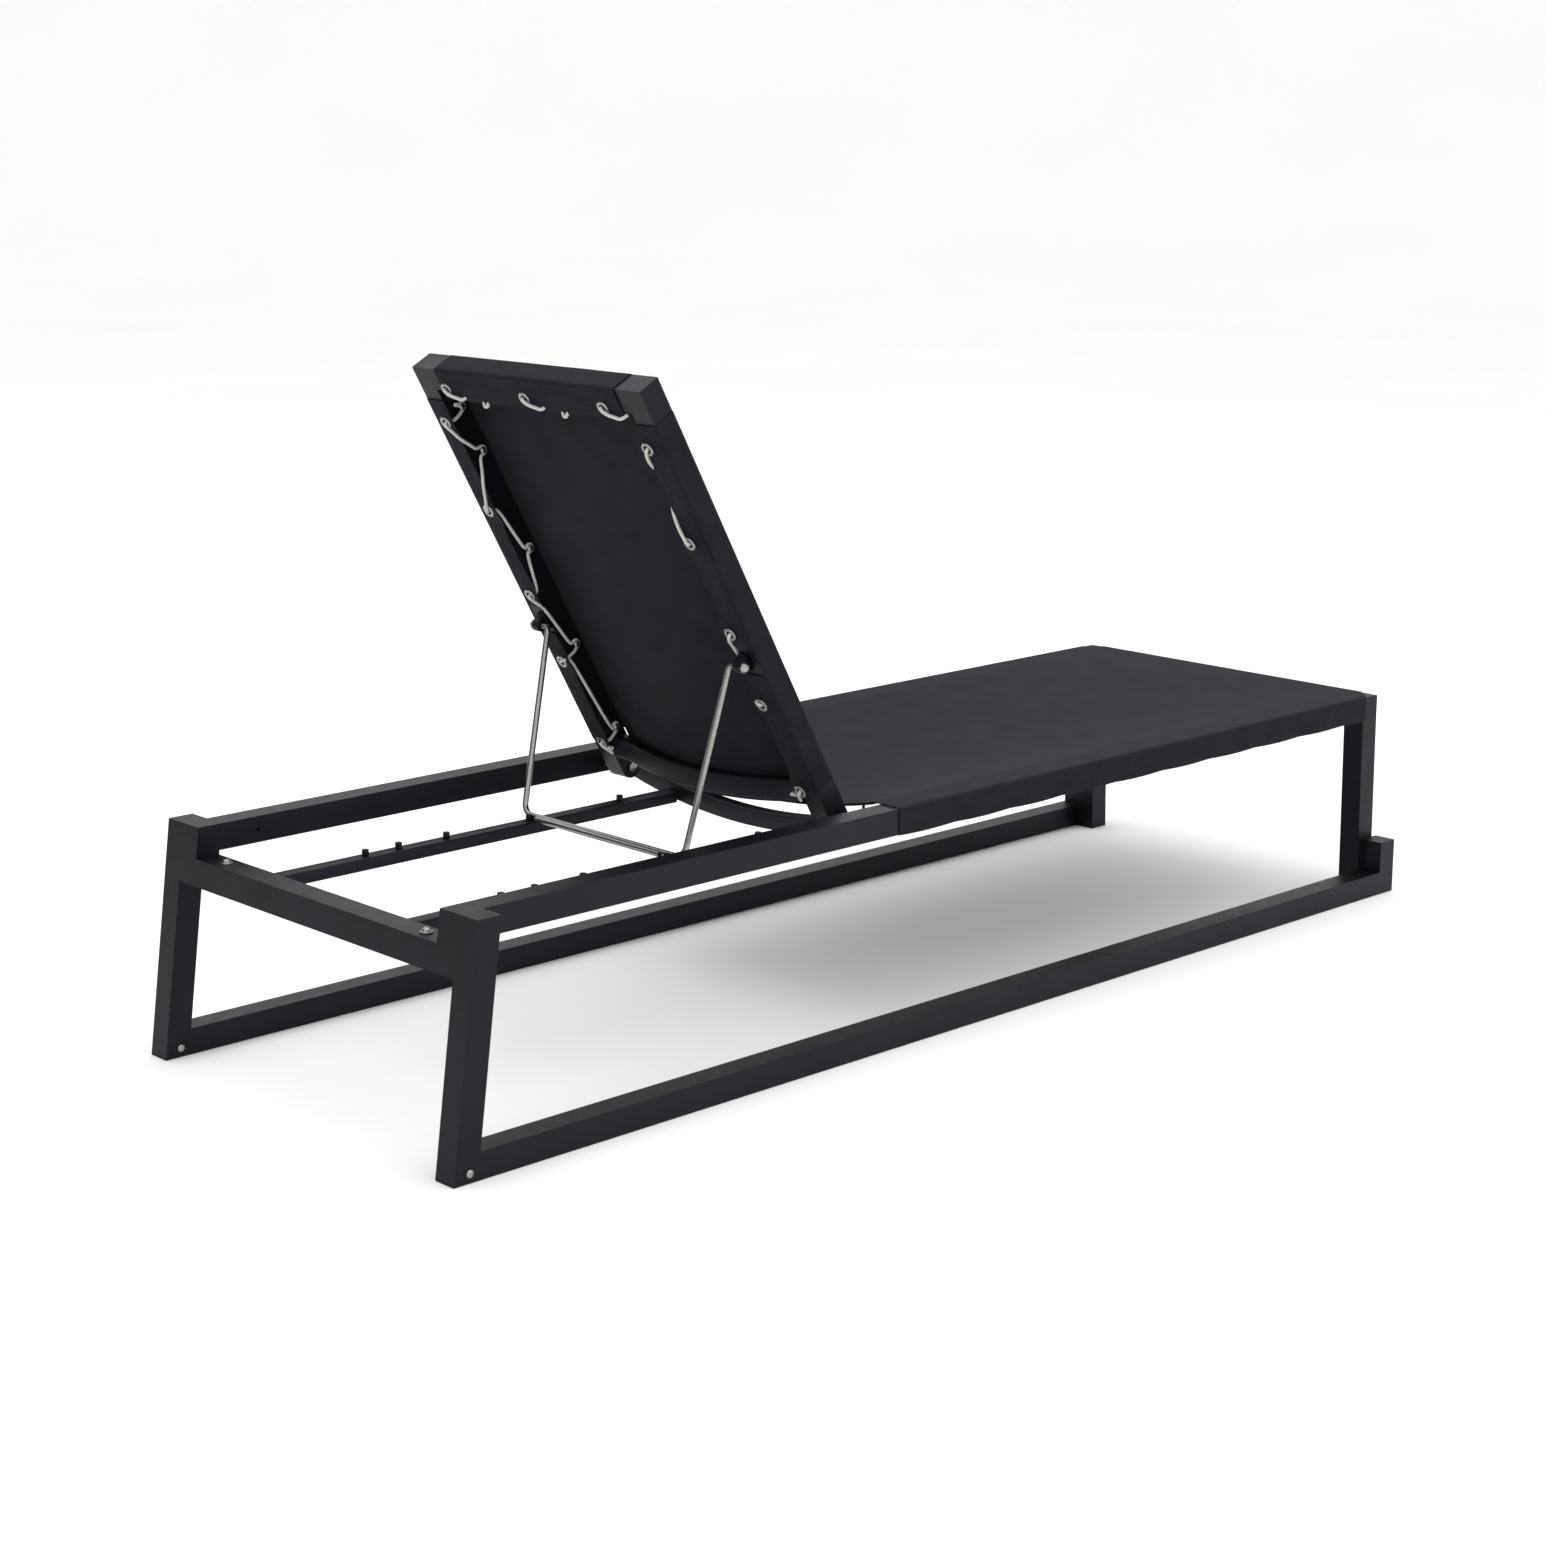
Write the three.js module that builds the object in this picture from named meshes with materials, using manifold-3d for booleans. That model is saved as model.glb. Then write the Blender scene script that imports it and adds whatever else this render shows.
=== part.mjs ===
// Reclining sun lounger: a welded base, a hinged backrest, and a wire prop that holds it up.
// Millimetres. X runs from the head end to the foot end, Y across, Z up. The left side is +Y.
import * as THREE from 'three';
import * as BufferGeometryUtils from 'three/addons/utils/BufferGeometryUtils.js';
import Module from 'manifold-3d';

const wasm = await Module();
wasm.setup();

// ---------- driving sizes ----------

const LENGTH = 2000;
const HALF_WIDTH = 352;
const TUBE = 38;
const WALL = 1.6;
const GAP = 0.3;
const RAIL_TOP = 337;
const RAIL_BOTTOM = RAIL_TOP - TUBE;
const RAIL_OUTER = HALF_WIDTH - TUBE;
const RAIL_INNER = RAIL_OUTER - TUBE;
const HEAD_LEAN = 47;
const FOOT_LEG_TOP = 1946.5;
const FOOT_LEG_LEAN = 5.5;
const FOOT_STUB_HEIGHT = 90;
const RAIL_END = FOOT_LEG_TOP + TUBE;

const CROSSBAR = { bottom: 255, top: 293 };
const CROSSBAR_BOLT = { y: 229, radius: 6, height: 6, washer: 9, washerDepth: 1.4 };
const LEG_BOLT = { x: 25, z: 13, shank: 3, radius: 5.5, height: 2.6 };
const RAIL_HOLE = { x: 144, z: 318, radius: 3 };
const PEG_BAR = { y: 153, width: 25, bottom: 268, height: 18 };
const PEG = { radius: 5, height: 9, x: [238, 295, 379, 530, 704] };
const SEAT_BAR = { x: 810, size: 25, sag: 38 };

const HINGE = { x: 777, z: 318, pin: 4, clearance: 0.1, head: 8, headDepth: 5, sleeve: 9 };
const BACK_ANGLE = THREE.MathUtils.degToRad(61.2);
const BACK = { inner: 210, outer: 245, half: 18, length: 730, tube: 35 };
const LOWER_BAR = { s: 31.5, width: 30, depth: 25, bow: 22, bend: 172 };

const PIVOT = { s: 291.8, n: -32 };
const LUG = { y: 212, thickness: 14, radius: 9, foot: 15 };
const ROD = 4.5;
const FOOT_BAR = { x: 540, z: 323.5, halfSpan: 177 };
const ARM_TOP_Y = 198;
const ROD_END_Y = 226.6;
const PROP_BENDS = [8, 18, 18, 8];
const PROP_NUT = { radius: 8, height: 6 };
const STIFFENER_HALF = 137;

const CLOTH = 1.6;
const SEAT_SAG = 32;
const SEAT_SAG_HALF = 262;
const BACK_SAG = 24;
const BACK_SAG_HALF = 188;
const SIDE_WRAP = { from: 63, to: 677 };
const TOP_WRAP_HALF = 193;
const FLAP_EDGE = 204;
const TOP_FLAP_EDGE = 685;
const CORNER_CUT = 36;
const LUG_CUT = { from: 269, to: 318 };

const CORD = 2.75;
const STUD = { n: 3, s: [654, 580, 409, 234, 77], shank: 2.5, reach: 6, head: 5, headDepth: 3 };
const EYELETS = [643, 492, 341, 219, 64];
const TOP_LACE = [183, 105, 9, -67, -156];
const TOP_LACE_DIP = 7;
const TIE_Y = 240;

const SIDES = [
  { name: 'left', sign: 1 },
  { name: 'right', sign: -1 },
];

// ---------- materials ----------

const coat = new THREE.MeshStandardMaterial({ color: 0x2a292e, roughness: 0.5, metalness: 0.3 });
const steel = new THREE.MeshStandardMaterial({ color: 0xb5b5b5, roughness: 0.3, metalness: 1 });
const cloth = new THREE.MeshStandardMaterial({ color: 0x434247, roughness: 0.95, metalness: 0 });
const cordWhite = new THREE.MeshStandardMaterial({ color: 0xc9c6c4, roughness: 0.8, metalness: 0 });
const cordDark = new THREE.MeshStandardMaterial({ color: 0x1c1c20, roughness: 0.85, metalness: 0 });

// ---------- solids ----------

function toManifold(geometry) {
  const bare = geometry.clone();
  bare.deleteAttribute('normal');
  bare.deleteAttribute('uv');
  const merged = BufferGeometryUtils.mergeVertices(bare, 1e-4);
  return new wasm.Manifold(new wasm.Mesh({
    numProp: 3,
    vertProperties: new Float32Array(merged.attributes.position.array),
    triVerts: new Uint32Array(merged.index.array),
  }));
}

function fromManifold(solid) {
  const mesh = solid.getMesh();
  const geometry = new THREE.BufferGeometry();
  geometry.setAttribute('position', new THREE.BufferAttribute(new Float32Array(mesh.vertProperties), 3));
  geometry.setIndex(new THREE.BufferAttribute(new Uint32Array(mesh.triVerts), 1));
  const flat = geometry.toNonIndexed();
  flat.computeVertexNormals();
  return flat;
}

const cut = (body, ...tools) =>
  fromManifold(tools.reduce((rest, tool) => rest.subtract(toManifold(tool)), toManifold(body)));
const fuse = (...parts) =>
  fromManifold(parts.map(toManifold).reduce((whole, next) => whole.add(next)));
const common = (first, second) => fromManifold(toManifold(first).intersect(toManifold(second)));

function block([x0, x1], [y0, y1], [z0, z1]) {
  const geometry = new THREE.BoxGeometry(x1 - x0, y1 - y0, z1 - z0);
  return geometry.translate((x0 + x1) / 2, (y0 + y1) / 2, (z0 + z1) / 2);
}

function extrude(outline, depth) {
  const shape = new THREE.Shape(outline.map(([a, b]) => new THREE.Vector2(a, b)));
  return new THREE.ExtrudeGeometry(shape, { depth, bevelEnabled: false, curveSegments: 12 });
}

// An outline in the XZ plane, drawn out along Y.
const prismY = (outline, [y0, y1]) =>
  extrude(outline, y1 - y0).rotateX(Math.PI / 2).translate(0, y1, 0);
// An outline in the YZ plane, drawn out along X.
const prismX = (outline, [x0, x1]) =>
  extrude(outline, x1 - x0).rotateZ(Math.PI / 2).rotateY(Math.PI / 2).translate(x0, 0, 0);
// An outline in the XY plane, drawn out along Z.
const prismZ = (outline, [z0, z1]) => extrude(outline, z1 - z0).translate(0, 0, z0);

function cylinderY(radius, [y0, y1], [x, z], segments = 48) {
  const geometry = new THREE.CylinderGeometry(radius, radius, y1 - y0, segments);
  return geometry.translate(x, (y0 + y1) / 2, z);
}

function cylinderZ(radius, [z0, z1], [x, y], segments = 32) {
  const geometry = new THREE.CylinderGeometry(radius, radius, z1 - z0, segments);
  return geometry.rotateX(Math.PI / 2).translate(x, y, (z0 + z1) / 2);
}

function arc([x, z], radius, from, to, steps) {
  return Array.from({ length: steps + 1 }, (_, i) => {
    const angle = from + ((to - from) * i) / steps;
    return [x + radius * Math.cos(angle), z + radius * Math.sin(angle)];
  });
}

// A span on the left side, or its mirror image on the right.
const spanOn = (side, inner, outer) => (side.sign > 0 ? [inner, outer] : [-outer, -inner]);
const grow = ([low, high], by) => [low - by, high + by];

// A route is followed through each of its points in turn, with one ring of the tube at each.
class Route extends THREE.Curve {
  constructor(points) {
    super();
    this.points = points;
  }

  getPoint(t) {
    const last = this.points.length - 1;
    const index = Math.min(Math.floor(t * last + 1e-9), last - 1);
    return this.points[index].clone().lerp(this.points[index + 1], t * last - index);
  }

  getPointAt(u) {
    return this.getPoint(u);
  }

  getTangentAt(u) {
    const step = 0.5 / (this.points.length - 1);
    const ahead = this.getPoint(Math.min(u + step, 1));
    return ahead.sub(this.getPoint(Math.max(u - step, 0))).normalize();
  }
}

function tubeAlong(points, radius, sides) {
  const ring = new THREE.Shape(
    Array.from({ length: sides }, (_, i) => {
      const angle = (2 * Math.PI * i) / sides;
      return new THREE.Vector2(radius * Math.cos(angle), radius * Math.sin(angle));
    }),
  );
  return new THREE.ExtrudeGeometry(ring, {
    steps: points.length - 1,
    extrudePath: new Route(points),
    bevelEnabled: false,
  });
}

// A polyline with each inner corner replaced by an arc of short chords, one radius to each.
function roundCorners(points, radii, steps) {
  const path = [points[0]];
  for (let i = 1; i < points.length - 1; i += 1) {
    const radius = radii[i - 1];
    const corner = points[i];
    const back = points[i - 1].clone().sub(corner).normalize();
    const on = points[i + 1].clone().sub(corner).normalize();
    const half = back.angleTo(on) / 2;
    const reach = radius / Math.tan(half);
    const centre = corner.clone().addScaledVector(back.clone().add(on).normalize(), radius / Math.sin(half));
    const start = corner.clone().addScaledVector(back, reach).sub(centre);
    const end = corner.clone().addScaledVector(on, reach).sub(centre);
    for (let k = 0; k <= steps; k += 1) {
      const spoke = start.clone().lerp(end, k / steps).setLength(radius);
      path.push(centre.clone().add(spoke));
    }
  }
  path.push(points.at(-1));
  return path;
}

// ---------- assembly ----------

const lounger = new THREE.Group();
lounger.name = 'reclining_sun_lounger';

// The frame's origin is under the middle of the lounger's length.
function add(name, geometry, material) {
  const mesh = new THREE.Mesh(geometry.translate(-LENGTH / 2, 0, 0), material);
  mesh.name = name;
  lounger.add(mesh);
}

// A part drawn lying flat is laid on the backrest: (-s, y, n) from the hinge, then turned up.
function addToBack(name, geometry, material) {
  add(name, geometry.rotateY(BACK_ANGLE).translate(HINGE.x, 0, HINGE.z), material);
}

const hollow = (outer, bore) => cut(outer, bore);

// ---------- base frame ----------

// The rear legs, the rails' head ends and the head crossbar share one leaning face.
const headFace = (z) => (HEAD_LEAN * z) / RAIL_TOP;

function leaningOutline(xTop, lean, inset, z0, z1) {
  const face = (z) => xTop + (lean * z) / RAIL_TOP;
  return [
    [face(z0) + inset, z0],
    [face(z0) + TUBE - inset, z0],
    [face(z1) + TUBE - inset, z1],
    [face(z1) + inset, z1],
  ];
}

function addRearLeg(side) {
  const span = spanOn(side, RAIL_OUTER, HALF_WIDTH);
  const bolt = cylinderY(LEG_BOLT.shank + GAP, grow(span, 1), [LEG_BOLT.x, LEG_BOLT.z], 24);
  const outer = prismY(leaningOutline(0, HEAD_LEAN, 0, 0, RAIL_TOP), span);
  const bore = prismY(leaningOutline(0, HEAD_LEAN, WALL, -1, RAIL_TOP - WALL), grow(span, -WALL));
  add(`rear_leg_${side.name}`, cut(outer, bore, bolt), coat);
}

function addFloorRunner(side) {
  const span = spanOn(side, RAIL_OUTER, HALF_WIDTH);
  const headEnd = (z) => headFace(z) + TUBE + GAP;
  const footEnd = LENGTH - TUBE - GAP;
  const outline = [[headEnd(0), 0], [footEnd, 0], [footEnd, TUBE], [headEnd(TUBE), TUBE]];
  const bore = block([0, LENGTH], grow(span, -WALL), [WALL, TUBE - WALL]);
  add(`floor_runner_${side.name}`, hollow(prismY(outline, span), bore), coat);
}

function addFootStub(side) {
  const span = spanOn(side, RAIL_OUTER, HALF_WIDTH);
  const length = [LENGTH - TUBE, LENGTH];
  const bore = block(grow(length, -WALL), grow(span, -WALL), [-1, FOOT_STUB_HEIGHT - WALL]);
  add(`foot_stub_${side.name}`, hollow(block(length, span, [0, FOOT_STUB_HEIGHT]), bore), coat);
}

function addFootLeg(side) {
  const span = spanOn(side, RAIL_INNER, RAIL_OUTER - GAP);
  const xFloor = FOOT_LEG_TOP + FOOT_LEG_LEAN;
  const outline = (inset, z0, z1) => leaningOutline(xFloor, -FOOT_LEG_LEAN, inset, z0, z1);
  const outer = prismY(outline(0, 0, RAIL_BOTTOM - GAP), span);
  const bore = prismY(outline(WALL, -1, RAIL_BOTTOM + 1), grow(span, -WALL));
  add(`foot_leg_${side.name}`, hollow(outer, bore), coat);
}

// The rail stands on the crossbar through a low pad, and has a drilled hole in its inner face.
function addSideRail(side) {
  const span = spanOn(side, RAIL_INNER, RAIL_OUTER - GAP);
  const padBottom = CROSSBAR.top + GAP;
  const padEnd = headFace(CROSSBAR.top) + TUBE;
  const outline = [
    [headFace(padBottom), padBottom],
    [padEnd, padBottom],
    [padEnd, RAIL_BOTTOM],
    [RAIL_END, RAIL_BOTTOM],
    [RAIL_END, RAIL_TOP],
    [headFace(RAIL_TOP), RAIL_TOP],
  ];
  const bore = block([HEAD_LEAN + WALL, RAIL_END + 1], grow(span, -WALL), [RAIL_BOTTOM + WALL, RAIL_TOP - WALL]);
  const innerWall = spanOn(side, RAIL_INNER - 1, RAIL_INNER + TUBE / 2);
  const hole = cylinderY(RAIL_HOLE.radius, innerWall, [RAIL_HOLE.x, RAIL_HOLE.z], 24);
  add(`side_rail_${side.name}`, cut(prismY(outline, span), bore, hole), coat);
}

function addHeadCrossbar() {
  const span = grow([-RAIL_OUTER, RAIL_OUTER], -GAP);
  const outer = prismY(leaningOutline(0, HEAD_LEAN, 0, CROSSBAR.bottom, CROSSBAR.top), span);
  const inside = leaningOutline(0, HEAD_LEAN, WALL, CROSSBAR.bottom + WALL, CROSSBAR.top - WALL);
  add('head_crossbar', hollow(outer, prismY(inside, grow(span, 1))), coat);
}

function addFootCrossRail() {
  const span = grow([-RAIL_INNER, RAIL_INNER], -GAP);
  const outer = block([FOOT_LEG_TOP, RAIL_END], span, [RAIL_BOTTOM, RAIL_TOP]);
  const bore = block(grow([FOOT_LEG_TOP, RAIL_END], -WALL), grow(span, 1), grow([RAIL_BOTTOM, RAIL_TOP], -WALL));
  add('foot_cross_rail', hollow(outer, bore), coat);
}

// The bar under the seat's rear edge dips between the rails.
function seatBarOutline(inset, reach) {
  const half = RAIL_INNER - GAP + reach;
  const top = (y) => RAIL_BOTTOM + SEAT_BAR.size - SEAT_BAR.sag * (1 - (y / RAIL_INNER) ** 2) - inset;
  const steps = 24;
  const across = Array.from({ length: steps + 1 }, (_, i) => -half + (2 * half * i) / steps);
  const depth = SEAT_BAR.size - 2 * inset;
  return [...across.map((y) => [y, top(y) - depth]), ...across.toReversed().map((y) => [y, top(y)])];
}

function addSeatBar() {
  const span = [SEAT_BAR.x, SEAT_BAR.x + SEAT_BAR.size];
  const bore = prismX(seatBarOutline(WALL, 1), grow(span, -WALL));
  add('seat_rear_bar', hollow(prismX(seatBarOutline(0, 0), span), bore), coat);
}

function addPegBar(side) {
  const half = PEG_BAR.width / 2;
  const span = spanOn(side, PEG_BAR.y - half, PEG_BAR.y + half);
  const height = [PEG_BAR.bottom, PEG_BAR.bottom + PEG_BAR.height];
  const length = [headFace(height[1]) + TUBE + GAP, SEAT_BAR.x - GAP];
  const bore = block(grow(length, 1), grow(span, -WALL), grow(height, -WALL));
  add(`peg_bar_${side.name}`, hollow(block(length, span, height), bore), coat);
}

function addPegs(side) {
  const foot = PEG_BAR.bottom + PEG_BAR.height + GAP;
  PEG.x.forEach((x, i) => {
    const peg = cylinderZ(PEG.radius, [foot, foot + PEG.height], [x, side.sign * PEG_BAR.y]);
    add(`peg_${side.name}_${i + 1}`, peg, coat);
  });
}

// A screw head or a nut, drawn on its own axis with its flat face at the origin.
function headLathe(radius, height) {
  const crown = radius * 0.6;
  const profile = [[0, 0], [radius, 0], [radius, height * 0.55], [crown, height], [0, height]];
  return new THREE.LatheGeometry(profile.map(([r, h]) => new THREE.Vector2(r, h)), 32);
}

function addCrossbarBolt(side) {
  const { y, radius, height, washer, washerDepth } = CROSSBAR_BOLT;
  const x = headFace(CROSSBAR.top) + TUBE / 2;
  const foot = CROSSBAR.top + GAP;
  const head = headLathe(radius, height).rotateX(Math.PI / 2).translate(x, side.sign * y, foot);
  const disc = cylinderZ(washer, [foot, foot + washerDepth], [x, side.sign * y]);
  add(`crossbar_bolt_${side.name}`, fuse(head, disc), steel);
}

// A bolt right through the leg's foot, with a low head at each face.
function addLegBolt(side) {
  const { x, z, shank, radius, height } = LEG_BOLT;
  const faces = grow(spanOn(side, RAIL_OUTER, HALF_WIDTH), GAP);
  const low = headLathe(radius, height).rotateX(Math.PI).translate(x, faces[0], z);
  const high = headLathe(radius, height).translate(x, faces[1], z);
  add(`leg_bolt_${side.name}`, fuse(cylinderY(shank, grow(faces, 1), [x, z], 24), low, high), steel);
}

function addHinge(side) {
  const centre = [HINGE.x, HINGE.z];
  const shank = cylinderY(HINGE.pin, spanOn(side, BACK.inner - 2, RAIL_INNER - GAP), centre);
  const headInner = BACK.inner - GAP - HINGE.headDepth;
  const head = cylinderY(HINGE.head, spanOn(side, headInner, BACK.inner - GAP), centre, 6);
  add(`hinge_bolt_${side.name}`, fuse(shank, head), steel);
  const sleeve = cylinderY(HINGE.sleeve, spanOn(side, BACK.outer + GAP, RAIL_INNER - GAP), centre);
  const bore = cylinderY(HINGE.pin + GAP, spanOn(side, BACK.outer - 1, RAIL_INNER + 1), centre);
  add(`hinge_spacer_${side.name}`, cut(sleeve, bore), coat);
}

function addSeatTie(side) {
  const y = side.sign * TIE_Y;
  const barTop = RAIL_BOTTOM + SEAT_BAR.size - SEAT_BAR.sag * (1 - (TIE_Y / RAIL_INNER) ** 2);
  const tie = cylinderZ(CORD, [barTop + 1, seatHeight(HINGE.x, y) - 1], [SEAT_BAR.x + 20, y], 16);
  add(`seat_tie_${side.name}`, tie, cordDark);
}

// ---------- slings ----------

// A cloth sheet over a grid: height(x, y) is its underside.
function sheet([x0, x1], [y0, y1], height, [nx, ny]) {
  const positions = [];
  const faces = [];
  const index = (layer, i, j) => layer * (nx + 1) * (ny + 1) + i * (ny + 1) + j;
  for (const layer of [0, 1]) {
    for (let i = 0; i <= nx; i += 1) {
      for (let j = 0; j <= ny; j += 1) {
        const x = x0 + ((x1 - x0) * i) / nx;
        const y = y0 + ((y1 - y0) * j) / ny;
        positions.push(x, y, height(x, y) + layer * CLOTH);
      }
    }
  }
  const quad = (a, b, c, d) => faces.push(a, b, c, a, c, d);
  for (let i = 0; i < nx; i += 1) {
    for (let j = 0; j < ny; j += 1) {
      quad(index(0, i, j), index(0, i, j + 1), index(0, i + 1, j + 1), index(0, i + 1, j));
      quad(index(1, i, j), index(1, i + 1, j), index(1, i + 1, j + 1), index(1, i, j + 1));
    }
  }
  for (let i = 0; i < nx; i += 1) {
    quad(index(0, i, 0), index(0, i + 1, 0), index(1, i + 1, 0), index(1, i, 0));
    quad(index(0, i + 1, ny), index(0, i, ny), index(1, i, ny), index(1, i + 1, ny));
  }
  for (let j = 0; j < ny; j += 1) {
    quad(index(0, 0, j + 1), index(0, 0, j), index(1, 0, j), index(1, 0, j + 1));
    quad(index(0, nx, j), index(0, nx, j + 1), index(1, nx, j + 1), index(1, nx, j));
  }
  const geometry = new THREE.BufferGeometry();
  geometry.setAttribute('position', new THREE.Float32BufferAttribute(positions, 3));
  geometry.setIndex(faces);
  return geometry;
}

// The seat hangs lowest at its rear edge and is flat over the foot cross rail.
function seatHeight(x, y) {
  const rear = Math.max(0, (FOOT_LEG_TOP - Math.max(x, SEAT_BAR.x)) / (FOOT_LEG_TOP - SEAT_BAR.x));
  const dip = Math.max(0, 1 - (y / SEAT_SAG_HALF) ** 2);
  return RAIL_TOP + GAP - SEAT_SAG * rear * dip;
}

function addSeatSling() {
  const rear = SEAT_BAR.x + 15;
  const end = RAIL_END + GAP + CLOTH;
  const side = RAIL_OUTER + GAP;
  const top = RAIL_TOP + GAP + CLOTH;
  const low = RAIL_BOTTOM - GAP - CLOTH;
  const flapStart = SEAT_BAR.x + SEAT_BAR.size + 3;
  const flapEnd = FOOT_LEG_TOP - 8;
  const pieces = [sheet([rear, end], [-side - CLOTH, side + CLOTH], seatHeight, [24, 24])];
  for (const mirror of SIDES) {
    pieces.push(block([rear, FOOT_LEG_TOP], spanOn(mirror, side, side + CLOTH), [low, top]));
    pieces.push(block([flapStart, flapEnd], spanOn(mirror, RAIL_INNER - 10, side + CLOTH), [low, low + CLOTH]));
  }
  pieces.push(block([RAIL_END + GAP, end], [-RAIL_INNER, RAIL_INNER], [low, top]));
  pieces.push(block([FOOT_LEG_TOP - 6, end], [-RAIL_INNER + GAP * 2, RAIL_INNER - GAP * 2], [low, low + CLOTH]));
  const corners = SIDES.map(({ sign }) => {
    const outer = sign * (side + CLOTH + 1);
    const inner = sign * (RAIL_OUTER - CORNER_CUT);
    const outline = [[end - CORNER_CUT, outer], [end + 1, outer], [end + 1, inner]];
    return prismZ(sign > 0 ? outline.toReversed() : outline, [low - 1, top + 1]);
  });
  add('seat_sling', cut(fuse(...pieces), ...corners), cloth);
}

// The backrest's cloth hangs back toward the bowed lower bar, and is tight at the top tube.
function backHeight(x, y) {
  const s = -x;
  const low = Math.max(0, (SIDE_WRAP.to - s) / SIDE_WRAP.to);
  const dip = Math.max(0, 1 - (y / BACK_SAG_HALF) ** 2);
  return BACK.half + GAP - BACK_SAG * low * dip;
}

function addBackSling() {
  const front = BACK.half + GAP;
  const rear = -front - CLOTH;
  const side = BACK.outer + GAP;
  const crest = BACK.length + GAP;
  const { from, to } = SIDE_WRAP;
  const pieces = [
    sheet([-to, -from], [-side - CLOTH, side + CLOTH], backHeight, [20, 24]),
    sheet([-from - 1, -LOWER_BAR.s], [-BACK.inner + 1, BACK.inner - 1], backHeight, [2, 24]),
    block([-crest - CLOTH, -to + 1], [-TOP_WRAP_HALF, TOP_WRAP_HALF], [front, front + CLOTH]),
    block([-crest - CLOTH, -crest], [-TOP_WRAP_HALF, TOP_WRAP_HALF], [rear, front + CLOTH]),
    block([-crest - CLOTH, -TOP_FLAP_EDGE], [-TOP_WRAP_HALF, TOP_WRAP_HALF], [rear, rear + CLOTH]),
  ];
  const cuts = [];
  for (const mirror of SIDES) {
    pieces.push(block([-to, -from], spanOn(mirror, side, side + CLOTH), [rear, front + CLOTH]));
    pieces.push(block([-to, -from], spanOn(mirror, FLAP_EDGE, side + CLOTH), [rear, rear + CLOTH]));
    cuts.push(block([-LUG_CUT.to, -LUG_CUT.from], spanOn(mirror, FLAP_EDGE - 1, side - 12), [rear - 1, 0]));
  }
  addToBack('backrest_sling', cut(fuse(...pieces), ...cuts), cloth);
}

// ---------- backrest frame ----------

function backSideOutline(inset, start) {
  const mitre = BACK.tube;
  return [
    [-start, BACK.inner + inset],
    [-start, BACK.outer - inset],
    [-(BACK.length - GAP * 1.5 - inset), BACK.outer - inset],
    [-(BACK.length - mitre - GAP * 1.5 + inset), BACK.inner + inset],
  ];
}

function mirrored(outline, sign) {
  return sign > 0 ? outline : outline.map(([x, y]) => [x, -y]).toReversed();
}

function addBackSide(side) {
  const outline = mirrored(backSideOutline(0, -BACK.half - 1), side.sign);
  const rounded = [
    ...arc([0, 0], BACK.half, -Math.PI / 2, Math.PI / 2, 16),
    [-BACK.length - 1, BACK.half],
    [-BACK.length - 1, -BACK.half],
  ];
  const width = grow(spanOn(side, BACK.inner, BACK.outer), 1);
  const body = common(prismZ(outline, [-BACK.half, BACK.half]), prismY(rounded, width));
  const bore = block([-BACK.length - 1, -16], spanOn(side, BACK.inner + WALL, BACK.outer - WALL),
    [-BACK.half + WALL, BACK.half - WALL]);
  const hinge = cylinderY(HINGE.pin + HINGE.clearance, width, [0, 0]);
  addToBack(`backrest_side_${side.name}`, cut(body, bore, hinge), coat);
}

function addBackTop() {
  const outline = [
    [-BACK.length, -BACK.outer],
    [-BACK.length + BACK.tube, -BACK.inner],
    [-BACK.length + BACK.tube, BACK.inner],
    [-BACK.length, BACK.outer],
  ];
  const bore = block([-BACK.length + WALL, -BACK.length + BACK.tube - WALL], [-BACK.outer, BACK.outer],
    [-BACK.half + WALL, BACK.half - WALL]);
  addToBack('backrest_top_tube', hollow(prismZ(outline, [-BACK.half, BACK.half]), bore), coat);
}

function lowerBarOutline(inset, reach) {
  const half = BACK.inner - GAP + reach;
  const bow = (y) => LOWER_BAR.bow * Math.max(0, 1 - (y / LOWER_BAR.bend) ** 2);
  const steps = 24;
  const curve = Array.from({ length: steps + 1 }, (_, i) => LOWER_BAR.bend * ((2 * i) / steps - 1));
  const across = [-half, ...curve, half];
  const rear = (y) => -BACK.half - bow(y) + inset;
  const depth = LOWER_BAR.depth - 2 * inset;
  return [...across.map((y) => [y, rear(y)]), ...across.toReversed().map((y) => [y, rear(y) + depth])];
}

function addLowerBar() {
  const span = [-LOWER_BAR.s - LOWER_BAR.width, -LOWER_BAR.s];
  const bore = prismX(lowerBarOutline(WALL, 1), grow(span, -WALL));
  addToBack('backrest_lower_bar', hollow(prismX(lowerBarOutline(0, 0), span), bore), coat);
}

function addLug(side) {
  const width = spanOn(side, LUG.y, LUG.y + LUG.thickness);
  const outline = [
    [-PIVOT.s - LUG.foot, -BACK.half - GAP],
    ...arc([-PIVOT.s, PIVOT.n], LUG.radius, Math.PI, 2 * Math.PI, 16),
    [-PIVOT.s + LUG.foot, -BACK.half - GAP],
  ];
  const bore = cylinderY(ROD + HINGE.clearance, grow(width, 1), [-PIVOT.s, PIVOT.n]);
  addToBack(`prop_lug_${side.name}`, cut(prismY(outline, width), bore), coat);
}

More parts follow.
